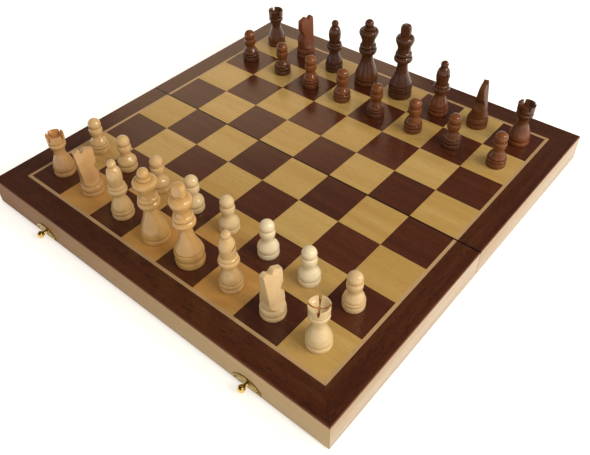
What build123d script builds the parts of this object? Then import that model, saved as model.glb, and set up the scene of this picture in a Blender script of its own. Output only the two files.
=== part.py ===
from build123d import *
import os
from math import asin, cos, pi, radians, sin, sqrt

# Folding chess box with its set of chessmen, opened flat as a playing board.
# Millimetres. X runs along the ranks, Y from the white side to the black side, Z is up.
# The origin is at the middle of the board, on the plane of the tray rims.

os.makedirs("parts", exist_ok=True)

# ---------------------------------------------------------------- the board
SQUARE = 41.5             # side of one playing square
SIDE_BORDER = 23.5        # from the squares to the outer edge beside the a and h files
END_BORDER = 25.0         # from the squares to the outer edge behind the first and eighth ranks
STRING = 2.9              # pale line round the playing squares
VENEER = 0.8              # veneer on the playing face
VENEER_JOINT = 0.04       # knife joint between pieces of veneer
ARRIS = 0.5               # small bevel along the veneered edge

# ---------------------------------------------------------------- each half, a shallow tray
TRAY_HEIGHT = 26.0        # from the rim to the playing face
RAIL = 9.0                # thickness of the rails
PANEL = 4.0               # plywood panel under the veneer
LEDGE = 5.0               # how far the panel reaches over the rails
PANEL_FIT = 0.15          # play of the panel in its rebate, each side
LINING = 1.0              # felt under the panel
LINING_FIT = 0.5          # gap between felt and rails
FOLD_GAP = 0.6            # gap between the halves along the fold
CLOSED_SEAM = 0.2         # gap between the rims of the closed box

# ---------------------------------------------------------------- butt hinges let into the rims
HINGE_X = 110.0           # middle of each hinge from the middle of the box
HINGE_LENGTH = 25.0
LEAF_WIDTH = 8.0          # from the hinge axis to the edge of a leaf
LEAF = 0.8                # thickness of a leaf
KNUCKLES = 3              # an odd number, the outer ones on the back leaf
KNUCKLE_RADIUS = 1.25
KNUCKLE_GAP = 0.2         # side play between knuckles
PIN_RADIUS = 0.7
PIN_FIT = 0.05            # radial play of the pin
SWING_ROOM = 0.35         # room round the knuckles
MORTISE_FIT = 0.2         # play of a leaf in its mortise

# ---------------------------------------------------------------- brass catches on the end rails
LATCH_X = 118.0           # middle of each catch from the middle of the box
PLATE = 0.8               # thickness of a plate
PLATE_WIDTH = 27.0
PLATE_BOTTOM = 1.8        # lower, straight edge of a plate above the rim
PLATE_TOP = 12.0          # top of the arch above the rim
PLATE_END = 2.4           # height of the blunt end of a plate
BRASS_FIT = 0.05          # play of studs and rivets in their holes
STUD_HEIGHT = 5.0         # middle of the ball stud above the rim
STUD_BALL_RADIUS = 3.1
STUD_NECK_RADIUS = 1.4
STUD_NECK = 1.9           # length of the neck, from the plate to the ball
TAIL_RADIUS = 1.0         # tail of a stud or rivet, closed over in its plate
PIVOT_HEIGHT = 7.5        # hook pivot above the rim
PIVOT_RADIUS = 1.2
PIVOT_COLLAR_RADIUS = 2.0
PIVOT_COLLAR = 0.75       # spacer that holds the hook off the plate
PIVOT_HEAD_RADIUS = 2.3
PIVOT_HEAD = 1.0
HOOK = 0.9                # thickness of the hook
HOOK_PLAY = 0.05          # side play of the hook on its pivot, each face
HOOK_EYE_RADIUS = 3.0
HOOK_HEAD_RADIUS = 3.4
HOOK_WAIST = 3.2          # width of the bar between eye and head
HOOK_MOUTH_FIT = 0.15     # play of the stud's neck in the hook
HOOK_MOUTH_ANGLE = 30.0   # how far the mouth runs out along its arc, degrees
HOOK_THUMB = 4.4          # from the stud to the middle of the thumb piece
HOOK_THUMB_RADIUS = 1.5

# ---------------------------------------------------------------- chessmen, turned and carved
KING_BASE = 24.0
KING_HEIGHT = 77.5
KING_NECK = 10.4
KING_COLLAR = 19.6
KING_COLLAR_AT = 31.0
KING_WAIST = 13.0
KING_CROWN = 20.0
KING_CROWN_DROP = 19.5    # rim of the crown below the top
KING_FINIAL = 14.0
KING_FINIAL_HEIGHT = 14.2
KING_CROSS = 6.4          # thickness of the finial between its two flats
QUEEN_BASE = 24.0
QUEEN_HEIGHT = 70.5
QUEEN_NECK = 10.4
QUEEN_COLLAR = 18.8
QUEEN_COLLAR_AT = 30.8
QUEEN_WAIST = 13.4
QUEEN_CROWN = 19.2
QUEEN_CROWN_DROP = 15.6
QUEEN_BALL = 9.0
BISHOP_BASE = 19.0
BISHOP_HEIGHT = 57.0
BISHOP_NECK = 9.4
BISHOP_COLLAR = 14.4
BISHOP_COLLAR_AT = 23.5
BISHOP_THROAT = 9.6
BISHOP_MITRE = 13.8
BISHOP_MITRE_AT = 41.8
BISHOP_BALL = 7.6
BISHOP_CUT = 1.2          # width of the slanted saw cut in the mitre
KNIGHT_BASE = 20.0
KNIGHT_HEIGHT = 46.0
KNIGHT_FOOT = 12.8        # height of the turned foot
KNIGHT_CHEEKS = 10.6      # thickness of the flat-sided head
KNIGHT_EARS = 6.8         # thickness at the ears
ROOK_BASE = 19.6
ROOK_HEIGHT = 41.5
ROOK_NECK = 10.4
ROOK_RING = 13.4
ROOK_RING_AT = 22.4
ROOK_HEAD = 16.4
ROOK_HEAD_AT = 28.0
ROOK_CUP = 11.6           # diameter of the hollow top
ROOK_CUP_DEPTH = 4.0
ROOK_KERF = 2.0           # width of the saw cuts between the battlements
PAWN_BASE = 17.6
PAWN_HEIGHT = 35.0
PAWN_NECK = 8.0
PAWN_COLLAR = 11.8
PAWN_COLLAR_AT = 15.8
PAWN_THROAT = 8.4
PAWN_BALL = 11.6
FLATS = 8                 # sides of a turned piece, an even number
FOOT_RING = 3.0           # height of the ring at the foot of every man
FOOT_GROOVE = 0.8         # depth of the groove above it
BEAD = 3.8                # height of a turned bead

# ---------------------------------------------------------------- worked out from these
board_side = 4 * SQUARE                        # half of the chequered field
half_width = board_side + SIDE_BORDER
half_length = board_side + END_BORDER
fold_edge = FOLD_GAP / 2
rail_top = TRAY_HEIGHT - VENEER
panel_seat = rail_top - PANEL
axis_height = -CLOSED_SEAM / 2
pocket_side = half_width - RAIL + LEDGE
pocket_near = fold_edge + RAIL - LEDGE
pocket_far = half_length - RAIL + LEDGE
knuckle_pitch = HINGE_LENGTH / KNUCKLES
hook_floor = PLATE + PIVOT_COLLAR + HOOK_PLAY  # underside of a hook above the rail's face
hook_reach = PIVOT_HEIGHT + CLOSED_SEAM + STUD_HEIGHT
SIDES = (-1, 1)

# Both halves are drawn the same way: x across the box, y out from the fold, z up.
BACK = Plane.XY
FRONT = Plane.XY.rotated((0, 0, 180))


def save(piece, name):
    piece.part.label = name
    export_step(piece.part, f"parts/{name}.step")


def catch_plane(ground, side):
    """The outer face of an end rail at a catch: x along the rail, y up from the rim, z out."""
    origin = ground.from_local_coords((side * LATCH_X, half_length, 0))
    return Plane(origin=origin, x_dir=-ground.x_dir, z_dir=ground.y_dir)


def hinge_plane(ground, across):
    """A plane square to the hinge axis: x out from the fold, y up."""
    origin = ground.from_local_coords((across, 0, axis_height))
    return Plane(origin=origin, x_dir=ground.y_dir, z_dir=ground.x_dir)


def cut_pocket(ground):
    """The rebate for the panel, in whichever rail is being made."""
    with BuildSketch(ground.offset(panel_seat)) as pocket:
        with Locations((0, (pocket_near + pocket_far) / 2)):
            Rectangle(2 * pocket_side, pocket_far - pocket_near)
    extrude(pocket.sketch, amount=PANEL, mode=Mode.SUBTRACT)


# ================================================================ rails
def end_rail(ground):
    """The rail behind the first or eighth rank, mitred at both ends."""
    inner_width = half_width - RAIL
    inner_length = half_length - RAIL
    with BuildPart() as rail:
        with BuildSketch(ground):
            with BuildLine():
                Polyline(
                    (-half_width, half_length),
                    (half_width, half_length),
                    (inner_width, inner_length),
                    (-inner_width, inner_length),
                    close=True,
                )
            make_face()
        extrude(amount=rail_top)
        cut_pocket(ground)
    return rail


def side_rails(ground):
    """The two rails beside the outer files: mitred at the end rail, square at the fold."""
    with BuildPart() as rails:
        for side in SIDES:
            with BuildSketch(ground):
                with BuildLine():
                    Polyline(
                        (side * half_width, fold_edge),
                        (side * half_width, half_length),
                        (side * (half_width - RAIL), half_length - RAIL),
                        (side * (half_width - RAIL), fold_edge),
                        close=True,
                    )
                make_face()
            extrude(amount=rail_top)
        cut_pocket(ground)
    return rails


def hinge_rail(ground):
    """The rail along the fold, with mortises for the leaves and grooves for the knuckles."""
    mortise = LEAF_WIDTH + MORTISE_FIT
    groove = HINGE_LENGTH / 2 + MORTISE_FIT
    with BuildPart() as rail:
        with BuildSketch(ground):
            with Locations((0, fold_edge + RAIL / 2)):
                Rectangle(2 * (half_width - RAIL), RAIL)
        extrude(amount=rail_top)
        cut_pocket(ground)
        for side in SIDES:
            with BuildSketch(ground):
                with Locations((side * HINGE_X, mortise / 2)):
                    Rectangle(HINGE_LENGTH + 2 * MORTISE_FIT, mortise)
            extrude(amount=LEAF + MORTISE_FIT, mode=Mode.SUBTRACT)
            with BuildSketch(hinge_plane(ground, side * HINGE_X)):
                Circle(KNUCKLE_RADIUS + SWING_ROOM)
            extrude(amount=groove, both=True, mode=Mode.SUBTRACT)
    return rail


# ================================================================ panel, lining and veneers
def panel(ground):
    """Plywood that closes the tray and carries the veneers."""
    with BuildPart() as sheet:
        with BuildSketch(ground.offset(panel_seat)):
            with Locations((0, (pocket_near + pocket_far) / 2)):
                Rectangle(2 * (pocket_side - PANEL_FIT), pocket_far - pocket_near - 2 * PANEL_FIT)
        extrude(amount=PANEL)
    return sheet


def lining(ground):
    """Felt glued under the panel, between the rails."""
    near = fold_edge + RAIL + LINING_FIT
    far = half_length - RAIL - LINING_FIT
    with BuildPart() as felt:
        with BuildSketch(ground.offset(panel_seat - LINING)):
            with Locations((0, (near + far) / 2)):
                Rectangle(2 * (half_width - RAIL - LINING_FIT), far - near)
        extrude(amount=LINING)
    return felt


def mitred_strips(ground, inner, outer_side, outer_end):
    """Veneer round three sides of the field in a half: two side strips and one end strip."""
    with BuildPart() as strips:
        with BuildSketch(ground.offset(rail_top)):
            with BuildLine():
                Polyline(
                    (-outer_side, outer_end),
                    (outer_side, outer_end),
                    (inner, inner),
                    (-inner, inner),
                    close=True,
                )
            make_face()
        extrude(amount=VENEER)
        for side in SIDES:
            with BuildSketch(ground.offset(rail_top)):
                with BuildLine():
                    Polyline(
                        (side * outer_side, fold_edge),
                        (side * outer_side, outer_end - VENEER_JOINT),
                        (side * inner, inner - VENEER_JOINT),
                        (side * inner, fold_edge),
                        close=True,
                    )
                make_face()
            extrude(amount=VENEER)
    return strips


def border(ground):
    """The dark strips, with the outer edge of the playing face eased."""
    strips = mitred_strips(ground, board_side + STRING, half_width, half_length)

    def is_outer(edge):
        middle = ground.to_local_coords(edge.center())
        on_side = abs(abs(middle.X) - half_width) < VENEER_JOINT
        return on_side or abs(middle.Y - half_length) < VENEER_JOINT

    with strips:
        top = strips.edges().filter_by(GeomType.LINE).group_by(Axis.Z)[-1]
        chamfer(top.filter_by(is_outer), ARRIS)
    return strips


def squares(ground, parity):
    """The sixteen squares of one wood in a half; the row at the fold is trimmed back."""
    with BuildPart() as field:
        with BuildSketch(ground.offset(rail_top)):
            for rank in range(4):
                near = max(rank * SQUARE, fold_edge)
                far = (rank + 1) * SQUARE
                for file in range(-4, 4):
                    if (rank + file) % 2 == parity:
                        with Locations(((file + 0.5) * SQUARE, (near + far) / 2)):
                            Rectangle(SQUARE - VENEER_JOINT, far - near - VENEER_JOINT)
        extrude(amount=VENEER)
    return field


# ================================================================ hinges
def hinge_leaves(ground, own_knuckles):
    """One leaf of each hinge, rolled into the knuckles at own_knuckles along the pin."""
    near = KNUCKLE_RADIUS + SWING_ROOM
    knuckle = knuckle_pitch - KNUCKLE_GAP
    with BuildPart() as leaves:
        for side in SIDES:
            middle = side * HINGE_X
            with BuildSketch(ground):
                with Locations((middle, (near + LEAF_WIDTH) / 2)):
                    Rectangle(HINGE_LENGTH, LEAF_WIDTH - near)
                for along in own_knuckles:
                    with Locations((middle + along, near / 2)):
                        Rectangle(knuckle, near)
            extrude(amount=LEAF)
            for along in own_knuckles:
                with BuildSketch(hinge_plane(ground, middle + along)):
                    Circle(KNUCKLE_RADIUS)
                extrude(amount=knuckle / 2, both=True)
            with BuildSketch(hinge_plane(ground, middle)):
                Circle(PIN_RADIUS + PIN_FIT)
            extrude(amount=HINGE_LENGTH, both=True, mode=Mode.SUBTRACT)
    return leaves


with BuildPart() as hinge_pins:
    for side in SIDES:
        with BuildSketch(hinge_plane(BACK, side * HINGE_X)):
            Circle(PIN_RADIUS)
        extrude(amount=HINGE_LENGTH / 2, both=True)


# ================================================================ turned pieces
# Each turned piece is cut to its outline from FLATS / 2 directions, which leaves it FLATS sides.
# An outline is a list of (distance from the axis, height) from the foot to the top.
def turned(outline):
    left = [(-across, height) for across, height in reversed(outline)]
    with BuildPart() as piece:
        for turn in range(FLATS // 2):
            with BuildSketch(Plane.XZ.rotated((0, 0, turn * 360 / FLATS))):
                with BuildLine():
                    Polyline(*outline, *left, close=True)
                make_face()
            mode = Mode.INTERSECT if turn else Mode.ADD
            extrude(amount=KING_BASE, both=True, mode=mode)
    return piece


def ball(diameter, top, throat):
    """A ball from the throat below it up to a small flat on top."""
    radius = diameter / 2
    start = asin(throat / diameter)
    steps = 4
    angles = [start + (pi - start) * step / steps for step in range(steps)]
    sides = [(radius * sin(angle), top - radius - radius * cos(angle)) for angle in angles]
    return sides + [(0.3 * radius, top)]


# ================================================================ catches
def catch_plates(ground, tail_height):
    """Half-moon plates, straight along the rim, with a hole for the tail of a stud or rivet."""
    end_height = PLATE_BOTTOM + PLATE_END
    with BuildPart() as plates:
        for side in SIDES:
            with BuildSketch(catch_plane(ground, side)):
                with BuildLine():
                    foot = Line((-PLATE_WIDTH / 2, PLATE_BOTTOM), (PLATE_WIDTH / 2, PLATE_BOTTOM))
                    right = Line(foot @ 1, (PLATE_WIDTH / 2, end_height))
                    arch = ThreePointArc(right @ 1, (0, PLATE_TOP), (-PLATE_WIDTH / 2, end_height))
                    Line(arch @ 1, foot @ 0)
                make_face()
                with Locations((0, tail_height)):
                    Circle(TAIL_RADIUS + BRASS_FIT, mode=Mode.SUBTRACT)
            extrude(amount=PLATE)
    return plates


# Ball stud and pivot rivet stand on the rail's face at z = 0 and point out of it.
with BuildPart() as stud:
    ball_middle = PLATE + STUD_NECK + sqrt(STUD_BALL_RADIUS**2 - STUD_NECK_RADIUS**2)
    with BuildSketch(Plane.XY):
        Circle(TAIL_RADIUS)
    extrude(amount=PLATE)
    with BuildSketch(Plane.XY.offset(PLATE)):
        Circle(STUD_NECK_RADIUS)
    extrude(amount=STUD_NECK)
    add(
        turned(
            ball(2 * STUD_BALL_RADIUS, ball_middle + STUD_BALL_RADIUS, 2 * STUD_NECK_RADIUS)
        ).part
    )

with BuildPart() as pivot:
    head = hook_floor + HOOK + HOOK_PLAY
    with BuildSketch(Plane.XY):
        Circle(TAIL_RADIUS)
    extrude(amount=PLATE)
    add(turned([(PIVOT_COLLAR_RADIUS, PLATE), (PIVOT_COLLAR_RADIUS, PLATE + PIVOT_COLLAR)]).part)
    with BuildSketch(Plane.XY.offset(PLATE)):
        Circle(PIVOT_RADIUS)
    extrude(amount=head - PLATE)
    add(turned([(PIVOT_HEAD_RADIUS, head), (PIVOT_HEAD_RADIUS, head + PIVOT_HEAD)]).part)


def hook(side):
    """A flat hook that points away from the middle of the box and swings down onto a stud."""
    origin = (side * LATCH_X, half_length + hook_floor, PIVOT_HEIGHT)
    flat = Plane(origin=origin, x_dir=(side, 0, 0), z_dir=(0, 1, 0))
    thumb = hook_reach + HOOK_THUMB
    mouth = STUD_NECK_RADIUS + HOOK_MOUTH_FIT
    with BuildPart() as bar:
        with BuildSketch(flat):
            Circle(HOOK_EYE_RADIUS)
            with Locations((hook_reach, 0)):
                Circle(HOOK_HEAD_RADIUS)
            with Locations((hook_reach / 2, 0)):
                Rectangle(hook_reach, HOOK_WAIST)
            with Locations(((hook_reach + thumb) / 2, 0)):
                Rectangle(HOOK_THUMB, 2 * HOOK_THUMB_RADIUS)
            with Locations((thumb, 0)):
                Circle(HOOK_THUMB_RADIUS)
            Circle(PIVOT_RADIUS + BRASS_FIT, mode=Mode.SUBTRACT)
            with Locations((hook_reach, 0)):
                Circle(mouth, mode=Mode.SUBTRACT)
            with BuildLine():
                outer = CenterArc((0, 0), hook_reach + mouth, 0, side * HOOK_MOUTH_ANGLE)
                inner = CenterArc((0, 0), hook_reach - mouth, 0, side * HOOK_MOUTH_ANGLE)
                Line(inner @ 0, outer @ 0)
                Line(inner @ 1, outer @ 1)
            make_face(mode=Mode.SUBTRACT)
        extrude(amount=HOOK)
    return bar


def on_catches(piece, ground, height):
    """A copy of a turned brass piece on each plate of a half."""
    with BuildPart() as pair:
        for side in SIDES:
            with Locations(catch_plane(ground, side).location * Location((0, height, 0))):
                add(piece.part)
    return pair


# ================================================================ chessmen
def foot(base, neck, neck_height):
    """Ring, groove and bell, from the table up to the neck."""
    radius = base / 2
    bell = FOOT_RING + 2 * FOOT_GROOVE
    rise = neck_height - bell
    narrowing = radius - neck / 2
    return [
        (radius, 0),
        (radius, FOOT_RING),
        (radius - FOOT_GROOVE, FOOT_RING + FOOT_GROOVE),
        (radius - FOOT_GROOVE / 4, bell),
        (radius - 0.6 * narrowing, bell + 0.5 * rise),
        (neck / 2, neck_height),
    ]


def bead(width, bottom, height):
    """A ring that stands out between two necks."""
    return [(width / 2, bottom + 0.3 * height), (width / 2, bottom + 0.7 * height)]


def make_pawn():
    return turned(
        foot(PAWN_BASE, PAWN_NECK, PAWN_COLLAR_AT)
        + bead(PAWN_COLLAR, PAWN_COLLAR_AT, BEAD)
        + [(PAWN_THROAT / 2, PAWN_COLLAR_AT + BEAD)]
        + ball(PAWN_BALL, PAWN_HEIGHT, PAWN_THROAT)
    )


def make_rook():
    """A tower with a hollow top, sawn across twice to leave four battlements."""
    rook = turned(
        foot(ROOK_BASE, ROOK_NECK, ROOK_RING_AT)
        + bead(ROOK_RING, ROOK_RING_AT, BEAD)
        + [(ROOK_NECK / 2, ROOK_RING_AT + BEAD)]
        + [(ROOK_HEAD / 2 - FOOT_GROOVE, ROOK_HEAD_AT), (ROOK_HEAD / 2, ROOK_HEIGHT)]
    )
    with rook:
        with BuildSketch(Plane.XY.offset(ROOK_HEIGHT)) as cup:
            RegularPolygon(ROOK_CUP / 2, FLATS)
            Rectangle(ROOK_BASE, ROOK_KERF)
            Rectangle(ROOK_KERF, ROOK_BASE)
        extrude(cup.sketch, amount=-ROOK_CUP_DEPTH, mode=Mode.SUBTRACT)
    return rook


def make_bishop():
    """A mitre with a slanted saw cut and a small ball on top."""
    throat = 0.6 * BISHOP_BALL
    mitre_foot = BISHOP_COLLAR_AT + 2 * BEAD
    shoulder = BISHOP_HEIGHT - BISHOP_BALL
    bishop = turned(
        foot(BISHOP_BASE, BISHOP_NECK, BISHOP_COLLAR_AT)
        + bead(BISHOP_COLLAR - 2 * FOOT_GROOVE, BISHOP_COLLAR_AT, BEAD)
        + bead(BISHOP_COLLAR, BISHOP_COLLAR_AT + BEAD, BEAD)
        + [
            (BISHOP_THROAT / 2, mitre_foot),
            (0.48 * BISHOP_MITRE, (mitre_foot + BISHOP_MITRE_AT) / 2 + FOOT_GROOVE),
            (BISHOP_MITRE / 2, BISHOP_MITRE_AT),
            (0.38 * BISHOP_MITRE, (shoulder + BISHOP_MITRE_AT) / 2 + FOOT_GROOVE),
        ]
        + ball(BISHOP_BALL, BISHOP_HEIGHT, throat)
    )
    slant = Plane(
        origin=(0, 0, BISHOP_MITRE_AT),
        x_dir=(cos(radians(50)), 0, sin(radians(50))),
        z_dir=(-sin(radians(50)), 0, cos(radians(50))),
    )
    with bishop:
        with BuildSketch(slant) as cut:
            with Locations((BISHOP_MITRE / 2, 0)):
                Rectangle(BISHOP_MITRE, 2 * BISHOP_MITRE)
        extrude(cut.sketch, amount=BISHOP_CUT / 2, both=True, mode=Mode.SUBTRACT)
    return bishop


def crowned_stem(base, neck, collar, collar_height, waist, crown, crown_height):
    """The foot, double collar, waist and flared crown of the queen and the king."""
    waist_height = collar_height + 3.5 * BEAD
    return (
        foot(base, neck, collar_height)
        + bead(collar - 2 * FOOT_GROOVE, collar_height, BEAD)
        + bead(collar, collar_height + BEAD, 1.5 * BEAD)
        + [
            (waist / 2, waist_height),
            (0.4 * crown, (waist_height + crown_height) / 2 + FOOT_GROOVE),
            (crown / 2, crown_height),
        ]
    )


def make_queen():
    throat = 0.6 * QUEEN_BALL
    rim = QUEEN_HEIGHT - QUEEN_CROWN_DROP
    return turned(
        crowned_stem(
            QUEEN_BASE, QUEEN_NECK, QUEEN_COLLAR, QUEEN_COLLAR_AT,
            QUEEN_WAIST, QUEEN_CROWN, rim,
        )
        + [(0.42 * QUEEN_CROWN, rim + BEAD)]
        + ball(QUEEN_BALL, QUEEN_HEIGHT, throat)
    )


def make_king():
    """A finial cut flat on two faces and notched at both sides, a plain form of cross."""
    low = KING_HEIGHT - KING_FINIAL_HEIGHT
    king = turned(
        crowned_stem(
            KING_BASE, KING_NECK, KING_COLLAR, KING_COLLAR_AT,
            KING_WAIST, KING_CROWN, KING_HEIGHT - KING_CROWN_DROP,
        )
        + [
            (0.42 * KING_CROWN, low - FOOT_GROOVE),
            (0.3 * KING_FINIAL, low),
            (0.45 * KING_FINIAL, low + 0.25 * KING_FINIAL_HEIGHT),
            (0.5 * KING_FINIAL, low + 0.55 * KING_FINIAL_HEIGHT),
            (0.4 * KING_FINIAL, low + 0.85 * KING_FINIAL_HEIGHT),
            (0.2 * KING_FINIAL, KING_HEIGHT),
        ]
    )
    with king:
        with BuildSketch(Plane.XY.offset(low + FOOT_GROOVE)) as flats:
            with Locations((0, -KING_CROSS), (0, KING_CROSS)):
                Rectangle(2 * KING_FINIAL, KING_CROSS)
        extrude(flats.sketch, amount=KING_FINIAL_HEIGHT, mode=Mode.SUBTRACT)
        with BuildSketch(Plane.XZ) as notches:
            for side in SIDES:
                with BuildLine():
                    Polyline(
                        (side * KING_FINIAL, low + 0.4 * KING_FINIAL_HEIGHT),
                        (side * 0.32 * KING_FINIAL, low + 0.62 * KING_FINIAL_HEIGHT),
                        (side * KING_FINIAL, low + 0.84 * KING_FINIAL_HEIGHT),
                        close=True,
                    )
                make_face()
        extrude(notches.sketch, amount=KING_FINIAL, both=True, mode=Mode.SUBTRACT)
    return king


def make_knight():
    """A turned foot that carries a flat-sided head, looking along X."""
    back = -0.4 * KNIGHT_BASE
    front = 0.43 * KNIGHT_BASE
    rise = KNIGHT_HEIGHT - KNIGHT_FOOT
    radius = KNIGHT_BASE / 2
    groove = FOOT_RING + FOOT_GROOVE
    knight = turned(
        [
            (radius, 0),
            (radius, FOOT_RING),
            (radius - FOOT_GROOVE, groove),
            (radius - FOOT_GROOVE / 4, groove + FOOT_GROOVE),
            (radius - FOOT_GROOVE, KNIGHT_FOOT - BEAD),
            (0.86 * radius, KNIGHT_FOOT - BEAD / 2),
            (0.8 * radius, KNIGHT_FOOT),
        ]
    )
    with knight:
        with BuildSketch(Plane.XZ) as side_view:
            with BuildLine():
                Polyline(
                    (back, KNIGHT_FOOT - BEAD),
                    (back, KNIGHT_HEIGHT),
                    (back + 0.24 * KNIGHT_BASE, KNIGHT_HEIGHT),
                    (0.06 * KNIGHT_BASE, KNIGHT_FOOT + 0.92 * rise),
                    (0.06 * KNIGHT_BASE, KNIGHT_FOOT + 0.84 * rise),
                    (0.92 * front, KNIGHT_FOOT + 0.79 * rise),
                    (front, KNIGHT_FOOT + 0.48 * rise),
                    (0.55 * front, KNIGHT_FOOT + 0.41 * rise),
                    (-0.1 * KNIGHT_BASE, KNIGHT_FOOT + 0.45 * rise),
                    (0.6 * front, KNIGHT_FOOT + 0.36 * rise),
                    (front, KNIGHT_FOOT + 0.24 * rise),
                    (0.94 * front, KNIGHT_FOOT + 0.14 * rise),
                    (0.68 * front, KNIGHT_FOOT - BEAD),
                    close=True,
                )
            make_face()
        extrude(side_view.sketch, amount=KNIGHT_CHEEKS / 2, both=True)
        with BuildSketch(Plane.YZ) as wedges:
            for side in SIDES:
                with BuildLine():
                    Polyline(
                        (side * KNIGHT_CHEEKS / 2, KNIGHT_FOOT + 0.5 * rise),
                        (side * KNIGHT_EARS / 2, KNIGHT_HEIGHT),
                        (side * KNIGHT_CHEEKS, KNIGHT_HEIGHT),
                        (side * KNIGHT_CHEEKS, KNIGHT_FOOT + 0.5 * rise),
                        close=True,
                    )
                make_face()
        extrude(wedges.sketch, amount=KNIGHT_BASE, both=True, mode=Mode.SUBTRACT)
    return knight


# ================================================================ the two halves
own_knuckles = {
    "back": [(place - KNUCKLES // 2) * knuckle_pitch for place in range(0, KNUCKLES, 2)],
    "front": [(place - KNUCKLES // 2) * knuckle_pitch for place in range(1, KNUCKLES, 2)],
}
for half, ground in (("back", BACK), ("front", FRONT)):
    save(end_rail(ground), f"{half}_end_rail")
    save(side_rails(ground), f"{half}_side_rails")
    save(hinge_rail(ground), f"{half}_hinge_rail")
    save(panel(ground), f"{half}_panel")
    save(lining(ground), f"{half}_lining")
    save(border(ground), f"{half}_border")
    save(mitred_strips(ground, board_side, board_side + STRING, board_side + STRING), f"{half}_string")
    save(squares(ground, 0), f"{half}_dark_squares")
    save(squares(ground, 1), f"{half}_light_squares")
    save(hinge_leaves(ground, own_knuckles[half]), f"{half}_hinge_leaves")
save(hinge_pins, "hinge_pins")
save(catch_plates(FRONT, STUD_HEIGHT), "stud_plates")
save(on_catches(stud, FRONT, STUD_HEIGHT), "catch_studs")
save(catch_plates(BACK, PIVOT_HEIGHT), "hook_plates")
save(on_catches(pivot, BACK, PIVOT_HEIGHT), "hook_pivots")
save(hook(-1), "hook_left")
save(hook(1), "hook_right")

# ================================================================ the men on their squares
# How far a man stands from the middle of its square, X and Y, where that shows.
NUDGES = {
    "a1": (-2.0, 2.0), "b1": (-2.0, 1.5), "c1": (0.5, -1.0), "d1": (0.5, -1.5),
    "e1": (-0.5, -2.0), "f1": (0.5, -0.5), "g1": (-0.5, 0.0), "h1": (-0.5, 0.0),
    "a2": (-2.5, 0.5), "b2": (-3.0, 0.0), "c2": (0.5, -1.0), "d2": (0.5, 0.0),
    "e2": (-1.0, 0.5), "g2": (0.5, -1.5), "h2": (-1.5, 0.0),
    "a7": (-3.0, 2.0), "b7": (1.0, 2.5), "c7": (-0.5, 0.5), "d7": (-1.0, 0.0),
    "e7": (-0.5, -1.5), "f7": (0.0, -0.5), "g7": (-1.0, 0.5), "h7": (2.0, 1.0),
    "a8": (-3.0, 4.0), "b8": (-2.0, 4.5), "c8": (-1.0, 0.0), "d8": (-1.0, 0.5),
    "e8": (-1.5, 1.5), "f8": (3.5, -2.0), "g8": (1.5, 3.0), "h8": (2.5, 2.5),
}
# Which way a man is turned on its square, degrees from X.
TURNS = {
    "a1": 20, "b1": 75, "g1": 82, "h1": 33,
    "a8": 60, "b8": 220, "e8": 20, "f8": -30, "g8": -85, "h8": 42,
}

FILES = "abcdefgh"
BACK_RANK = ("rook", "knight", "bishop", "queen", "king", "bishop", "knight", "rook")
men = {
    "king": make_king(),
    "queen": make_queen(),
    "bishop": make_bishop(),
    "knight": make_knight(),
    "rook": make_rook(),
    "pawn": make_pawn(),
}


def stand(colour, kind, file, rank):
    """A copy of a man on its square."""
    square = f"{FILES[file]}{rank}"
    aside, along = NUDGES.get(square, (0, 0))
    place = ((file - 3.5) * SQUARE + aside, (rank - 4.5) * SQUARE + along, TRAY_HEIGHT)
    with BuildPart() as man:
        with Locations(Location(place, (0, 0, TURNS.get(square, 0)))):
            add(men[kind].part)
    save(man, f"{colour}_{kind}_{square}")


for file, kind in enumerate(BACK_RANK):
    stand("white", kind, file, 1)
    stand("white", "pawn", file, 2)
    stand("black", "pawn", file, 7)
    stand("black", kind, file, 8)
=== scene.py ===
# %% [markdown]
# # A folding chess box, lying open as a board with its men set up
#
# The real object is two shallow wooden trays, hinged together along one side. Opened right out and
# turned over, their backs make the board: walnut and maple veneers with a pale string round them and
# a walnut border. Thirty-two turned men stand on it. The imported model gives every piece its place,
# so each step below only dresses a piece that is already there, or replaces it by a finer one.

import math
import random

import bpy
from mathutils import Matrix, Vector


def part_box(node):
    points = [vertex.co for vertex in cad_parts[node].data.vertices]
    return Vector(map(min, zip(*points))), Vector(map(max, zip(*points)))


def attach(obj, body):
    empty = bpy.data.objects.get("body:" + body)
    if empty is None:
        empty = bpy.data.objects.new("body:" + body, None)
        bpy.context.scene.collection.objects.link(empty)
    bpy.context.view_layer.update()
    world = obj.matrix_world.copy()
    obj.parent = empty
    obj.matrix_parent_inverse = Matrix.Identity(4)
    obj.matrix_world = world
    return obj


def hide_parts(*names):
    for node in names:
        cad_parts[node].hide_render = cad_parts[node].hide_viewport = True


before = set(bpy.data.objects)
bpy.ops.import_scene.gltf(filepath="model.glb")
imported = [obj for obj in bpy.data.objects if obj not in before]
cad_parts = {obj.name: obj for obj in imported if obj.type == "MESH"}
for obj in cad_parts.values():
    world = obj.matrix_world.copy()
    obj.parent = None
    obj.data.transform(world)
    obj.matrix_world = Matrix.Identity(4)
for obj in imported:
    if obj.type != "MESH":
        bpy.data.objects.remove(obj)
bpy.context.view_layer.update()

# %% [markdown]
# ## Sizes
#
# Lengths in Blender are metres, while a maker thinks in millimetres, so one constant turns them.
# The sizes of the board could be typed in again, but here they are read from the model's own nodes,
# so that grain and joints fall where the wood is.

# %% Sizes of the board
MM = 0.001
ENDS = {"back": 1, "front": -1}       # which way along Y each half of the box reaches
SIDES = (-1, 1)
HANDS = ("left", "right")


def tenths(size):
    """A size read from the model, to a tenth of a millimetre, which clears its rounding."""
    return round(size / MM, 1) * MM


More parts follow.
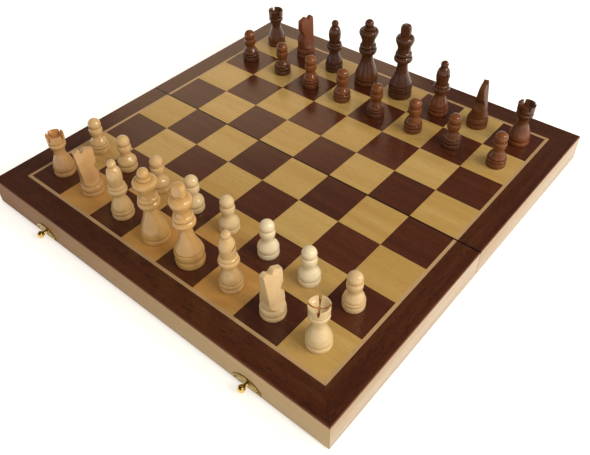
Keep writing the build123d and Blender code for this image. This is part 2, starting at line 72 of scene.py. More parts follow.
_, border_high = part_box("back_border")
SQUARE = tenths(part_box("back_dark_squares")[1].x / 4)
FIELD = 4 * SQUARE                    # half the side of the playing field
STRING = tenths(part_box("back_string")[1].x - FIELD)
HALF_WIDTH = border_high.x
HALF_LENGTH = border_high.y
BOARD_TOP = border_high.z
print("board", [round(2 * size / MM, 1) for size in (HALF_WIDTH, HALF_LENGTH)], "mm")
print("square", SQUARE / MM, "string", STRING / MM, "mm")

# %% [markdown]
# ## Small helpers for modelling
#
# Everything is shaped with the operators a modeller uses by hand. They act on whatever is selected,
# so each helper first clears the selection, then picks what it needs. A mesh could also be written
# point by point in code, but then the steps would no longer be those that can be followed by hand.


# %% Modelling helpers
WELD = 0.002 * MM         # points closer together than this become one
SMOOTH_ANGLE = 35.0       # degrees; a sharper edge keeps its crease when it is shaded


def alone(piece):
    """Selects one object and nothing else."""
    if bpy.context.object and bpy.context.object.mode != "OBJECT":
        bpy.ops.object.mode_set(mode="OBJECT")
    bpy.ops.object.select_all(action="DESELECT")
    piece.select_set(True)
    bpy.context.view_layer.objects.active = piece


def edit(piece):
    """Opens one object in edit mode with its whole mesh selected."""
    alone(piece)
    bpy.ops.object.mode_set(mode="EDIT")
    bpy.ops.mesh.select_all(action="SELECT")


def finish_mesh(piece, angle=SMOOTH_ANGLE):
    """Welds the mesh, turns its faces outwards and shades its curves smooth."""
    edit(piece)
    bpy.ops.mesh.remove_doubles(threshold=WELD)
    bpy.ops.mesh.normals_make_consistent(inside=False)
    bpy.ops.object.mode_set(mode="OBJECT")
    bpy.ops.object.shade_smooth_by_angle(angle=math.radians(angle))


def apply_place(piece):
    """Puts the object's place into its mesh, so that the object itself sits at the origin."""
    alone(piece)
    bpy.ops.object.transform_apply(location=True, rotation=True, scale=True)


def apply_modifier(piece, kind, **settings):
    """Adds a modifier with its settings and applies it."""
    alone(piece)
    modifier = piece.modifiers.new(kind.title(), kind)
    for name, value in settings.items():
        setattr(modifier, name, value)
    bpy.ops.object.modifier_apply(modifier=modifier.name)


def ease_edges(piece, width, segments, sharpest):
    """Rounds off every edge that turns by more than an angle in degrees."""
    apply_modifier(
        piece,
        "BEVEL",
        width=width,
        segments=segments,
        limit_method="ANGLE",
        angle_limit=math.radians(sharpest),
    )


def duplicate(source, name):
    """A copy with its own mesh."""
    piece = source.copy()
    piece.data = source.data.copy()
    piece.name = name
    piece.data.name = name
    bpy.context.collection.objects.link(piece)
    return piece


def discard(piece):
    """Removes a tool or a pattern that has done its work."""
    bpy.data.objects.remove(piece, do_unlink=True)


def tell(piece):
    """Prints how high a piece is and how many faces it has."""
    height = max(point.co.z for point in piece.data.vertices) / MM
    print(piece.name, round(height, 1), "mm high,", len(piece.data.polygons), "faces")


# %% [markdown]
# ## Drawing an outline
#
# A turned piece is one outline swept round its axis, and a saw cut is an outline pushed through the
# wood. The outline is drawn as strokes: within a stroke the line is smooth, and where two strokes
# meet there is a crisp corner, which is how a turner's gouge and parting tool leave the wood. Every
# point could be typed in, but a curve through a few points keeps the line fair and easy to change.

# %% Strokes of an outline
STROKE_STEPS = 4          # points that smooth each span of a stroke
BEAD_STEPS = 8            # spans round a bead


def between(share, before, start, end, after):
    """A point on the smooth curve from start to end, which leans on its neighbours."""
    return 0.5 * (
        2 * start
        + (end - before) * share
        + (2 * before - 5 * start + 4 * end - after) * share**2
        + (3 * start - before - 3 * end + after) * share**3
    )


def stroke(*points):
    """A smooth line through points given as (distance from the axis, height), in mm."""
    spans = [points[0], *points, points[-1]]
    line = []
    for four in zip(spans, spans[1:], spans[2:], spans[3:]):
        for step in range(STROKE_STEPS):
            share = step / STROKE_STEPS
            line.append(tuple(between(share, *values) for values in zip(*four)))
    return [*line, points[-1]]


def bead(width, low, high, inner_low, inner_high, power):
    """A ring on a stem of the inner radii. Power 1 is a plain sine; lower is fuller and flatter."""
    line = []
    for step in range(BEAD_STEPS + 1):
        angle = math.pi * step / BEAD_STEPS
        inner = inner_low + (inner_high - inner_low) * step / BEAD_STEPS
        out = inner + (width / 2 - inner) * math.sin(angle) ** power
        line.append((out, (low + high) / 2 - (high - low) / 2 * math.cos(angle)))
    return line


def ball(diameter, top, throat):
    """A ball that sits on a throat of the given radius and ends on the axis."""
    radius = diameter / 2
    start = math.asin(throat / radius)
    line = []
    for step in range(2 * BEAD_STEPS + 1):
        angle = start + (math.pi - start) * step / (2 * BEAD_STEPS)
        line.append((radius * math.sin(angle), top - radius - radius * math.cos(angle)))
    return line


# %% [markdown]
# ## Turning on a lathe
#
# The outline becomes a line of edges: a tiny plane is merged to one point, and the point is extruded
# from place to place. Spin then sweeps the line round, as the lathe does. The Screw modifier would
# sweep it too, but Spin works on the line where it was drawn, in edit mode, and merges the seam.

# %% Lathe
TURN_STEPS = 56           # faces round a turned piece
SEED_SIZE = 0.5 * MM      # the plane that is merged to the first point
SHORTEST = 0.005 * MM     # a shorter step of an outline is left out


def drawn(name, points):
    """Draws a line of edges through the points, and leaves it selected in edit mode."""
    bpy.ops.object.select_all(action="DESELECT")
    bpy.ops.mesh.primitive_plane_add(size=SEED_SIZE, location=(0, 0, 0))
    line = bpy.context.object
    line.name = name
    edit(line)
    bpy.ops.mesh.merge(type="CENTER")
    bpy.ops.transform.translate(value=points[0])
    for start, end in zip(points, points[1:]):
        bpy.ops.mesh.extrude_vertices_move(TRANSFORM_OT_translate={"value": end - start})
    bpy.ops.mesh.select_all(action="SELECT")
    return line


def turned(name, *strokes):
    """Sweeps an outline, given in mm from foot to top, round the Z axis."""
    points = []
    for part in strokes:
        for across, height in part:
            point = Vector((max(across, 0.0), 0.0, height)) * MM
            if not points or (point - points[-1]).length > SHORTEST:
                points.append(point)
    piece = drawn(name, points)
    bpy.ops.mesh.spin(
        steps=TURN_STEPS, angle=2 * math.pi, center=(0, 0, 0), axis=(0, 0, 1), use_auto_merge=True
    )
    bpy.ops.object.mode_set(mode="OBJECT")
    finish_mesh(piece)
    return piece


# %% [markdown]
# ## Materials
#
# Colours are written as on a screen, in hex, and turned to the linear values that light is worked
# out in. One function adds a node with its settings and links, and takes the first output of a node
# that feeds it, so a recipe reads from the place on the wood down to the shader.


# %% Colour and node helpers
def linear(hex_colour):
    """An sRGB hex colour as linear RGBA, by the curve that the sRGB standard gives."""
    channels = [int(hex_colour[i : i + 2], 16) / 255 for i in (1, 3, 5)]
    return (
        *(c / 12.92 if c <= 0.04045 else ((c + 0.055) / 1.055) ** 2.4 for c in channels),
        1.0,
    )


def add(tree, kind, inputs=None, **settings):
    """Adds a node. An input is a value, or the node or socket that feeds it."""
    made = tree.nodes.new("ShaderNode" + kind)
    for name, value in settings.items():
        setattr(made, name, value)
    for key, value in (inputs or {}).items():
        if isinstance(value, bpy.types.Node):
            value = next(socket for socket in value.outputs if socket.enabled)
        if isinstance(value, bpy.types.NodeSocket):
            tree.links.new(value, made.inputs[key])
        else:
            made.inputs[key].default_value = value
    return made


def new_material(name):
    """An empty node material, its tree, and the place on the object that its patterns follow."""
    material = bpy.data.materials.new(name)
    material.use_nodes = True
    tree = material.node_tree
    tree.nodes.clear()
    return material, tree, add(tree, "TexCoord").outputs["Object"]


# Some nodes have several inputs of one name, so theirs are given by number. A Mix of colours has its
# factor at 0, then these two, and a Mix of vectors has 4 and 5. A Math node has its numbers in order.
# A MapRange has the value at 0, the range it comes from at 1 and 2, the range it goes to at 3 and 4.
FACTOR, FIRST, SECOND = 0, 6, 7

# %% [markdown]
# ### Wood
#
# Every wood here shows the same three things, each at its own scale: slow bands of early and late
# growth, fine streaks along the grain, and dark pores. They are noises stretched along the grain. A
# painted picture of the wood could do the same, but noise never repeats and follows the piece's own
# size. Real pores are a tenth of a millimetre wide, too fine to show, so they are drawn a few times
# coarser.

# %% Wood recipe
# Each mark: how many times longer it is than wide, and the stretch of its noise that shows.
BANDS = (22, 0.33, 0.67)
STREAKS = (40, 0.3, 0.7)
PORES = (9, 0.56, 0.7)
PORES_PER_STREAK = 1.6
BAND_SHARE = 0.6          # of the tone comes from the bands, the rest from the streaks


def grain(tree, place, band, streak, pore):
    """Bands, streaks and pores, each 0 to 1, where X of the place runs along the grain."""
    marks = []
    for (stretch, low, high), scale, settings, most in (
        (BANDS, 1 / band, {"Distortion": 0.6}, 1.0),
        (STREAKS, 1 / streak, {"Detail": 3.0}, 1.0),
        (PORES, PORES_PER_STREAK / streak, {"Detail": 1.0}, pore),
    ):
        long = add(tree, "Mapping", {"Vector": place, "Scale": (1 / stretch, 1, 1)})
        noise = add(tree, "TexNoise", {"Vector": long, "Scale": scale, **settings})
        marks.append(add(tree, "MapRange", {0: noise, 1: low, 2: high, 4: most}))
    return marks


def wood_colour(tree, figure, shades):
    """The figure of the wood in three shades: early growth, late growth and pores."""
    bands, streaks, pores = figure
    early, late, dark = (linear(shade) for shade in shades)
    slow = add(tree, "Math", {0: bands, 1: BAND_SHARE}, operation="MULTIPLY")
    tone = add(tree, "Math", {0: streaks, 1: 1 - BAND_SHARE, 2: slow}, operation="MULTIPLY_ADD")
    wood = add(tree, "Mix", {FACTOR: tone, FIRST: early, SECOND: late}, data_type="RGBA")
    return add(tree, "Mix", {FACTOR: pores, FIRST: wood, SECOND: dark}, data_type="RGBA")


# %% [markdown]
# ### Lacquer
#
# Clear lacquer lies over the wood. On the board it is rubbed down to a satin, on the rails it is
# thin, and on the ends it is nearly gone. It could be a second, glossy shader mixed with the first,
# but the coat of one shader does the same and keeps the wood below it as it is. A finish is three
# numbers, so a new one is easily tried.

# %% Lacquer recipe
# Finishes: roughness of the wood, weight of the lacquer and roughness of the lacquer.
BOARD_SATIN = (0.4, 0.9, 0.2)
RAIL_SATIN = (0.4, 0.3, 0.25)
BARE = (0.55, 0.0, 0.25)
RELIEF_DEPTH = 0.02 * MM
RELIEF_STRENGTH = 0.3
WEAR = 0.07               # how far the roughness wanders with the streaks
LACQUER_IOR = 1.5
WOOD_SHINE = 0.15         # wood under lacquer hardly mirrors by itself


def lacquered(tree, colour, figure, finish):
    """Wood under clear lacquer, through which streaks and pores show as a faint relief."""
    _, streaks, pores = figure
    roughness, coat, coat_roughness = finish
    relief = add(tree, "Math", {0: streaks, 1: pores}, operation="SUBTRACT")
    dents = add(
        tree, "Bump", {"Height": relief, "Strength": RELIEF_STRENGTH, "Distance": RELIEF_DEPTH}
    )
    worn = add(tree, "MapRange", {0: streaks, 3: roughness + WEAR, 4: roughness - WEAR})
    shader = add(
        tree,
        "BsdfPrincipled",
        {
            "Base Color": colour,
            "Roughness": worn,
            "IOR": LACQUER_IOR,
            "Specular IOR Level": WOOD_SHINE,
            "Coat Weight": coat,
            "Coat Roughness": coat_roughness,
            "Coat IOR": LACQUER_IOR,
            "Normal": dents,
        },
    )
    add(tree, "OutputMaterial", {"Surface": shader})


# %% [markdown]
# ### Dark edges and painted shadow at the fold
#
# Where the two halves meet, the cut edges of the veneer are dark, and the gap between them is black.
# The gap is already in the model, but it is too narrow to look black in soft light. So the veneers
# are darkened close to the fold, by their distance from it: partly the dark cut edges, and partly a
# painted shadow that stands for the shade in the gap.

# %% Dark edge and painted shadow at the fold
FOLD_DARK = 0.5 * MM      # darkest up to this distance from the middle of the gap
FOLD_SOFT = 1.2 * MM      # and no longer darkened from this one on
FOLD_SHADE = "#140a06"


# Partly the dark cut edges, partly a painted shadow for the shade in the narrow gap.
def fold_edge_and_painted_shadow(tree, place, colour):
    """Darkens the cut edge of the veneer where the two halves meet, and paints the gap's shadow."""
    along = add(tree, "SeparateXYZ", {0: place}).outputs[1]
    off = add(tree, "Math", {0: along}, operation="ABSOLUTE")
    edge = add(tree, "MapRange", {0: off, 1: FOLD_DARK, 2: FOLD_SOFT, 3: 1.0, 4: 0.0})
    shade = linear(FOLD_SHADE)
    return add(tree, "Mix", {FACTOR: edge, FIRST: colour, SECOND: shade}, data_type="RGBA")


# %% [markdown]
# ### Veneers of the playing field
#
# Each square is its own leaf of veneer, cut from another place in the flitch, so its tone and its
# grain start afresh. One material for each square would need sixty-four of them. Here the place is
# divided by the side of a square and rounded down, which numbers the squares, and a white noise
# turns the number into a chance tone and a chance shift of the grain. Over the maple of the first
# ranks a warm orange tint fades in, less of it towards the right: painted shade, which stands for
# the shade of the near men on those squares.

# %% Veneer of the squares
PAINTED_SHADE_RANKS = (-2.0, -3.3)    # squares from the middle where the painted shade begins and is fullest
PAINTED_SHADE_FILES = (1.6, 3.0)      # squares from the middle where it begins to fade and is gone
PAINTED_SHADE_MOST = 0.6


# Painted shade: a warm orange tint over the maple of the first ranks, where the near men shade it.
def paint_warm_shade(tree, place, leaf, amber):
    """Paints a warm shade over the squares of the first ranks, and less of it to the right."""
    across = add(tree, "SeparateXYZ", {0: place}).outputs
    start, full = (rank * SQUARE for rank in PAINTED_SHADE_RANKS)
    ranks = add(tree, "MapRange", {0: across[1], 1: start, 2: full, 3: 0.0, 4: PAINTED_SHADE_MOST})
    fading, gone = (file * SQUARE for file in PAINTED_SHADE_FILES)
    shade_share = add(tree, "MapRange", {0: across[0], 1: fading, 2: gone, 3: ranks, 4: 0.0})
    return add(tree, "Mix", {FACTOR: shade_share, FIRST: leaf, SECOND: linear(amber)}, data_type="RGBA")


def square_veneer(name, shades, other_leaf, band, streak, pore, amber=None):
    """Veneer whose leaf changes from square to square, grain along the ranks, with optional painted
    shade.
    """
    material, tree, place = new_material(name)
    per_square = (1 / SQUARE, 1 / SQUARE, 0)
    cell = add(tree, "VectorMath", {0: place, 1: per_square}, operation="MULTIPLY")
    number = add(tree, "VectorMath", {0: cell}, operation="FLOOR")
    chance = add(tree, "TexWhiteNoise", {"Vector": number})
    shift = chance.outputs["Color"]
    moved = add(tree, "VectorMath", {0: shift, 1: (1, 1, 1), 2: place}, operation="MULTIPLY_ADD")
    figure = grain(tree, moved, band, streak, pore)
    one = wood_colour(tree, figure, shades)
    other = wood_colour(tree, figure, other_leaf)
    leaf = add(tree, "Mix", {FACTOR: chance, FIRST: one, SECOND: other}, data_type="RGBA")
    if amber:
        leaf = paint_warm_shade(tree, place, leaf, amber)
    lacquered(tree, fold_edge_and_painted_shadow(tree, place, leaf), figure, BOARD_SATIN)
    return material


# Walnut veneer, sliced: chocolate brown with a red cast and fine straight streaks.
walnut_squares = square_veneer(
    "sliced_walnut_veneer",
    ("#3d190b", "#532814", "#2b1107"),
    ("#4a2213", "#5c2e18", "#341509"),
    band=8 * MM,
    streak=0.9 * MM,
    pore=0.7,
)
# Maple veneer, sliced: even honey yellow with hardly any figure.
maple_squares = square_veneer(
    "sliced_maple_veneer",
    ("#ae8b48", "#be9d5f", "#9a7536"),
    ("#b59455", "#c5a86b", "#a38043"),
    band=18 * MM,
    streak=1.2 * MM,
    pore=0.35,
    # painted warm shade over the first ranks
    amber="#bd8340",
)
print("squares", [len(veneer.node_tree.nodes) for veneer in (walnut_squares, maple_squares)], "nodes")

# %% [markdown]
# ### Veneer of the border and the string
#
# Border and string are strips laid round the field and mitred at the corners, and the grain runs
# along each strip. Four materials could share out the strips, but the place alone tells which strip
# a point lies in: it is nearer to the outer edge either sideways or lengthways. That comparison
# picks the grain's direction, and where the two are equal runs the thin dark line of the mitre.
# Hands and cloths rub the outer edge of the border lighter.

# %% Strip veneer
MITRE_LINE = 0.1 * MM     # darkest up to this difference of the two distances
MITRE_SOFT = 0.4 * MM     # and gone from this one on
MITRE_DARK = 0.7
RUB_REACH = 1.3 * MM      # wear begins this far in from the edge
RUB_FULL = 0.4 * MM       # and is fullest from here outwards
RUB_MOST = 0.8


def strip_veneer(name, shades, reach, band, streak, pore, rubbed=None):
    """Veneer of mitred strips. reach is half the width and half the length of their outer edge."""
    material, tree, place = new_material(name)
    across = add(tree, "SeparateXYZ", {0: place}).outputs
    inside = []
    for axis in (0, 1):
        off = add(tree, "Math", {0: across[axis]}, operation="ABSOLUTE")
        inside.append(add(tree, "Math", {0: off, 1: reach[axis]}, operation="SUBTRACT"))
    lead = add(tree, "Math", {0: inside[0], 1: inside[1]}, operation="SUBTRACT")
    beside = add(tree, "Math", {0: lead, 1: 0.0}, operation="GREATER_THAN")
    swapped = add(tree, "CombineXYZ", {0: across[1], 1: across[0], 2: across[2]})
    along = add(tree, "Mix", {FACTOR: beside, 4: place, 5: swapped}, data_type="VECTOR")
    figure = grain(tree, along, band, streak, pore)
    gap = add(tree, "Math", {0: lead}, operation="ABSOLUTE")
    mitre = add(tree, "MapRange", {0: gap, 1: MITRE_LINE, 2: MITRE_SOFT, 3: MITRE_DARK, 4: 0.0})
    wood = wood_colour(tree, figure, shades)
    dark = linear(shades[2])
    colour = add(tree, "Mix", {FACTOR: mitre, FIRST: wood, SECOND: dark}, data_type="RGBA")
    if rubbed:
        outermost = add(tree, "Math", {0: inside[0], 1: inside[1]}, operation="MAXIMUM")
        wear = add(tree, "MapRange", {0: outermost, 1: -RUB_REACH, 2: -RUB_FULL, 4: RUB_MOST})
        pale = linear(rubbed)
        colour = add(tree, "Mix", {FACTOR: wear, FIRST: colour, SECOND: pale}, data_type="RGBA")
    lacquered(tree, fold_edge_and_painted_shadow(tree, place, colour), figure, BOARD_SATIN)
    return material


# Walnut border veneer: darker than the squares, with long dark pores.
walnut_border = strip_veneer(
    "walnut_border_veneer",
    ("#3e1908", "#532b13", "#271005"),
    (HALF_WIDTH, HALF_LENGTH),
    band=7 * MM,
    streak=1.0 * MM,
    pore=0.9,
    rubbed="#7d5038",
)
# Maple string: a pale, straight-grained strip.
maple_string = strip_veneer(
    "maple_string",
    ("#a98a62", "#bb9c74", "#8d6a42"),
    (FIELD + STRING, FIELD + STRING),
    band=6 * MM,
    streak=0.9 * MM,
    pore=0.3,
)
print("strips", [len(veneer.node_tree.nodes) for veneer in (walnut_border, maple_string)], "nodes")

# %% [markdown]
# ### Solid wood of the rails
#
# The rails are solid birch: pale and close grained, with slow warm bands. The side rails are
# lacquered, while the end rails look nearly bare, and they are darker and more orange to the left.
# Each rail could have a recipe of its own, but one serves all: the grain of the end rails runs along
# X, and for the side rails the place is turned first. The panels of the trays are thin birch plywood
# without lacquer.

# %% Rail wood
QUARTER_TURN = 90.0
QUARTER = math.radians(QUARTER_TURN)
TOP_RANGE = (6 * MM, 30 * MM)     # above the board, where a man's own tone turns to that of his top
LEFT_END_RANGE = (0.55, -0.9)        # of half the width, where the change towards the left end begins and is fullest


def solid_wood(
    name, shades, turn, band, streak, pore, finish=RAIL_SATIN, top_shades=None, left_end_colour=None
):
    """Solid wood, its grain along X once the place is turned. Its colour may change upwards or to
    the left."""
    material, tree, place = new_material(name)
    lie = add(tree, "Mapping", {"Vector": place, "Rotation": turn})
    figure = grain(tree, lie, band, streak, pore)
    colour = wood_colour(tree, figure, shades)
    if top_shades:
        height = add(tree, "SeparateXYZ", {0: place}).outputs[2]
        low, high = (BOARD_TOP + rise for rise in TOP_RANGE)
        rise = add(tree, "MapRange", {0: height, 1: low, 2: high})
        top = wood_colour(tree, figure, top_shades)
        colour = add(tree, "Mix", {FACTOR: rise, FIRST: colour, SECOND: top}, data_type="RGBA")
    if left_end_colour:
        sideways = add(tree, "SeparateXYZ", {0: place}).outputs[0]
        start, full = (share * HALF_WIDTH for share in LEFT_END_RANGE)
        leftness = add(tree, "MapRange", {0: sideways, 1: start, 2: full})
        deep = linear(left_end_colour)
        colour = add(tree, "Mix", {FACTOR: leftness, FIRST: colour, SECOND: deep}, data_type="RGBA")
    lacquered(tree, colour, figure, finish)
    return material


RAIL_GRAIN = {"band": 9 * MM, "streak": 0.9 * MM, "pore": 0.35}
birch_end = solid_wood(
    "birch_end_rail",
    ("#bca37c", "#c6af8a", "#a3885f"),
    (0, 0, 0),
    **RAIL_GRAIN,
    finish=BARE,
    left_end_colour="#8b6138",
)
birch_side = solid_wood(
    "birch_side_rail", ("#aa9377", "#b7a48c", "#967a5e"), (0, 0, QUARTER), **RAIL_GRAIN
)
plywood = solid_wood(
    "birch_plywood",
    ("#b9986a", "#c9ab7e", "#9c7a4e"),
    (0, 0, 0),
    band=14 * MM,
    streak=1.2 * MM,
    pore=0.4,
    finish=BARE,
)
print("rails", [wood.name for wood in (birch_end, birch_side, plywood)])

# %% [markdown]
# ### Felt
#
# The trays are lined with thin green felt: short wool fibres pressed flat, so it is dull, slightly
# cloudy, and has a soft sheen where the fibres catch the light. Hair would show every fibre, but the
# felt lies inside the box, so a fine bump does. Real fibres are a few hundredths of a millimetre
# wide, too fine to show, and the tufts that they make are drawn instead. The raised tufts are also
# painted a lighter green, a painted highlight.

# %% Felt material
CLOUD_WIDTH = 12 * MM
TUFT_WIDTH = 0.7 * MM
TUFT_HEIGHT = 0.25 * MM
felt, tree, place = new_material("pressed_wool_felt")
clouds = add(tree, "TexNoise", {"Vector": place, "Scale": 1 / CLOUD_WIDTH, "Detail": 3.0})
tufts = add(tree, "TexNoise", {"Vector": place, "Scale": 1 / TUFT_WIDTH, "Detail": 4.0})
uneven = add(tree, "MapRange", {0: clouds, 1: 0.3, 2: 0.7})
# Painted highlight: the tufts that the bump raises are coloured a lighter green.
painted_tuft_highlight = add(tree, "MapRange", {0: tufts, 1: 0.35, 2: 0.65, 4: 0.6})
green, light_green, highlight_green = (linear(shade) for shade in ("#1f4a2e", "#2c6040", "#43805a"))
cloudy = add(
    tree, "Mix", {FACTOR: uneven, FIRST: green, SECOND: light_green}, data_type="RGBA"
)
shade = add(tree, "Mix", {FACTOR: painted_tuft_highlight, FIRST: cloudy, SECOND: highlight_green}, data_type="RGBA")
nap = add(tree, "Bump", {"Height": tufts, "Strength": 0.6, "Distance": TUFT_HEIGHT})
shader = add(
    tree,
    "BsdfPrincipled",
    {
        "Base Color": shade,
        "Roughness": 0.95,
        "Sheen Weight": 0.4,
        "Sheen Roughness": 0.5,
        "Normal": nap,
    },
)
add(tree, "OutputMaterial", {"Surface": shader})
print("felt", len(tree.nodes), "nodes")

# %% [markdown]
# ### Brass
#
# The catches and hinges are brass in two finishes. Plates, hinges, hooks, rivets, nails and screws
# are pressed or turned, lacquered and a little tarnished: clean metal gives the gold reflection, and
# a brown film that gathers in patches dulls it. The ball studs are polished, and touched most, so
# little film stays on them. The faint lines of the rolling mill run along the plates. One recipe
# makes both, since they differ only in their two colours and in how far the film reaches.

# %% Brass material
PATCH_WIDTH = 4 * MM
ROLLING_LINE = 0.3 * MM       # real ones are finer
ROLLING_STRETCH = 10          # times longer than wide
ROLLING_DEPTH = 0.02 * MM
FILM_START = 0.6              # of the noise, less the reach of the film
FILM_FULL = 0.75
FILM_MOST = 0.85
CLEAN_ROUGHNESS = 0.2
FILM_ROUGHNESS = 0.45


def brass_metal(name, bright, dull, film_reach):
    """Brass whose brown film covers more of it as the reach grows."""
    material, tree, place = new_material(name)
    patches = add(tree, "TexNoise", {"Vector": place, "Scale": 1 / PATCH_WIDTH, "Detail": 4.0})
    film = add(tree, "MapRange", {0: patches, 1: FILM_START - film_reach, 2: FILM_FULL, 4: FILM_MOST})
    rolled = add(tree, "Mapping", {"Vector": place, "Scale": (1 / ROLLING_STRETCH, 1, 1)})
    lines = add(tree, "TexNoise", {"Vector": rolled, "Scale": 1 / ROLLING_LINE, "Detail": 2.0})
    gold, brown = linear(bright), linear(dull)
    shader = add(
        tree,
        "BsdfPrincipled",
        {
            "Base Color": add(
                tree, "Mix", {FACTOR: film, FIRST: gold, SECOND: brown}, data_type="RGBA"
            ),
            "Metallic": 1.0,
            "Roughness": add(tree, "MapRange", {0: film, 3: CLEAN_ROUGHNESS, 4: FILM_ROUGHNESS}),
            "Normal": add(
                tree, "Bump", {"Height": lines, "Strength": 0.2, "Distance": ROLLING_DEPTH}
            ),
        },
    )
    add(tree, "OutputMaterial", {"Surface": shader})
    return material


brass = brass_metal("lacquered_brass", "#b3954f", "#6d5a30", film_reach=0.3)
polished_brass = brass_metal("polished_brass", "#dcbf70", "#8a7038", film_reach=0.0)
print("brass", [metal.name for metal in (brass, polished_brass)])

# %% [markdown]
# ## Dressing the box
#
# The veneers and the felt keep their shapes from the model and only take a material. The rails and
# the pressed brass get a copy of their own: the model's triangles are welded, joined back to flat
# faces, and every edge is eased by a small bevel, because sanded wood and tumbled brass have no
# knife edges, and the eased edge is what catches the light. The edges could be picked and bevelled
# one by one, but the Bevel modifier finds them all by their angle.

# %% Dress and ease the box
FLAT_ANGLE = 1.0          # degrees; triangles closer to flat than this are one face
EASED_ANGLE = 40.0        # degrees; a blunter edge is left as it is
EASED_SMOOTH = 30.0


def dress(node_name, material):
    """Gives a node of the model its material."""
    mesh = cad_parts[node_name].data
    mesh.materials.clear()
    mesh.materials.append(material)


def eased(node_name, body, material, ease, segments=2):
    """A welded copy of a node with eased edges, which stands for the node."""
    piece = duplicate(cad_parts[node_name], node_name + "_eased")
    piece.parent = None
    for key in [key for key in piece.keys() if key.startswith("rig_")]:
        del piece[key]
    edit(piece)
    bpy.ops.mesh.customdata_custom_splitnormals_clear()
    bpy.ops.mesh.remove_doubles(threshold=WELD)
    bpy.ops.mesh.dissolve_limited(angle_limit=math.radians(FLAT_ANGLE))
    bpy.ops.object.mode_set(mode="OBJECT")
    ease_edges(piece, ease, segments, EASED_ANGLE)
    bpy.ops.object.shade_smooth_by_angle(angle=math.radians(EASED_SMOOTH))
    piece.data.materials.clear()
    piece.data.materials.append(material)
    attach(piece, body)
    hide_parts(node_name)
    return piece


SHEETS = {
    "border": walnut_border,
    "string": maple_string,
    "dark_squares": walnut_squares,
    "light_squares": maple_squares,
    "lining": felt,
    "panel": plywood,
}
RAIL_EASE = 0.35 * MM
HINGE_RAIL_EASE = 0.2 * MM
LEAF_EASE = 0.1 * MM
PLATE_EASE = 0.25 * MM
HOOK_EASE = 0.15 * MM
hinge_leaves = {}
for half in ENDS:
    body = f"{half}_half"
    for sheet, material in SHEETS.items():
        dress(f"{half}_{sheet}", material)
    eased(f"{half}_end_rail", body, birch_end, RAIL_EASE)
    eased(f"{half}_side_rails", body, birch_side, RAIL_EASE)
    eased(f"{half}_hinge_rail", body, birch_end, HINGE_RAIL_EASE, 1)
    hinge_leaves[half] = eased(f"{half}_hinge_leaves", body, brass, LEAF_EASE, 1)
eased("stud_plates", "front_half", brass, PLATE_EASE)
eased("hook_plates", "back_half", brass, PLATE_EASE)
for hand in HANDS:
    eased(f"hook_{hand}", f"hook_{hand}", brass, HOOK_EASE)
dress("hinge_pins", brass)
print("box dressed,", len(SHEETS), "sheets a half")

# %% [markdown]
# ## Laying copies against the wood
#
# The small brass and the men repeat, so each is modelled once, standing on the floor at the origin,
# and copied. Linked copies would be lighter, but a copy with its own mesh can take its place into
# the mesh, and then its finish is cut from its own part of the pattern.


# %% Copying helpers
def place_copy(source, name, matrix, body, material):
    """A copy of a piece, moved by a matrix, that rides on a body."""
    piece = duplicate(source, name)
    piece.matrix_world = matrix
    apply_place(piece)
    piece.data.materials.clear()
    piece.data.materials.append(material)
    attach(piece, body)
    return piece


def facing(end):
    """The turn that lays Z against the end rail at that end of the board."""
    return Matrix.Rotation(-end * QUARTER, 4, "X")


# %% [markdown]
# ## Ball studs
#
# At the near end of the board each catch has a ball on a waisted neck, turned from brass, for the
# hook to close over. The model gives its place and how far it stands out. A ready-made sphere and
# cylinder would be quicker, but the outline adds the curve of the neck.

# %% Ball studs
PLATE = 0.8               # mm, thickness of the plates


def at_catches(pattern, name, half, height, material):
    """Sets a copy of a pattern at both catches of a half, and discards the pattern."""
    end = ENDS[half]
    pair = []
    for side, hand in zip(SIDES, HANDS):
        place = Matrix.Translation((side * LATCH_X, end * HALF_LENGTH, height)) @ facing(end)
        pair.append(place_copy(pattern, f"{name}_{hand}", place, f"{half}_half", material))
    discard(pattern)
    return pair


stud_low, stud_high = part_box("catch_studs")
stud_height = (stud_low.z + stud_high.z) / 2
stud_reach = (stud_high.y - stud_low.y) / MM
LATCH_X = stud_high.x - (stud_high.z - stud_low.z) / 2
stud_pattern = turned(
    "stud_pattern",
    stroke((0, 0.1), (1.0, 0.1)),
    stroke((1.0, 0.1), (1.0, PLATE)),
    stroke((2.1, PLATE), (1.7, PLATE + 0.5), (1.4, PLATE + 1.1), (1.4, PLATE + 1.9)),
    ball(6.2, stud_reach, 1.4),
)
tell(stud_pattern)
stud_pair = at_catches(stud_pattern, "ball_stud", "front", stud_height, polished_brass)
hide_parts("catch_studs")

# %% [markdown]
# ## Rivets of the hooks
#
# At the far end a rivet goes through the eye of each hook. It has a collar that holds the hook off
# the plate, a stem and a low domed head. The head is too flat to be part of a ball, so a smooth
# stroke shapes it.

# %% Hook rivets
rivet_low, rivet_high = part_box("hook_pivots")
rivet_height = (rivet_low.z + rivet_high.z) / 2
rivet_reach = (rivet_high.y - rivet_low.y) / MM
head_start = rivet_reach - 1.0
rivet_pattern = turned(
    "rivet_pattern",
    stroke((0, 0.1), (1.0, 0.1)),
    stroke((2.0, PLATE), (2.0, PLATE + 0.75)),
    stroke((1.2, PLATE + 0.75), (1.2, head_start)),
    stroke(
        (2.3, head_start), (2.25, rivet_reach - 0.55), (1.3, rivet_reach - 0.08), (0, rivet_reach),
    ),
)
tell(rivet_pattern)
rivet_pair = at_catches(rivet_pattern, "hook_rivet", "back", rivet_height, brass)
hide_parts("hook_pivots")

# %% [markdown]
# ## Nails of the plates
#
# A small domed nail goes through each ear of a plate. A squashed sphere could stand for it, but the
# outline gives the dome its crisp rim. Only the dome shows, so the shank is a stub that ends inside
# the plate.

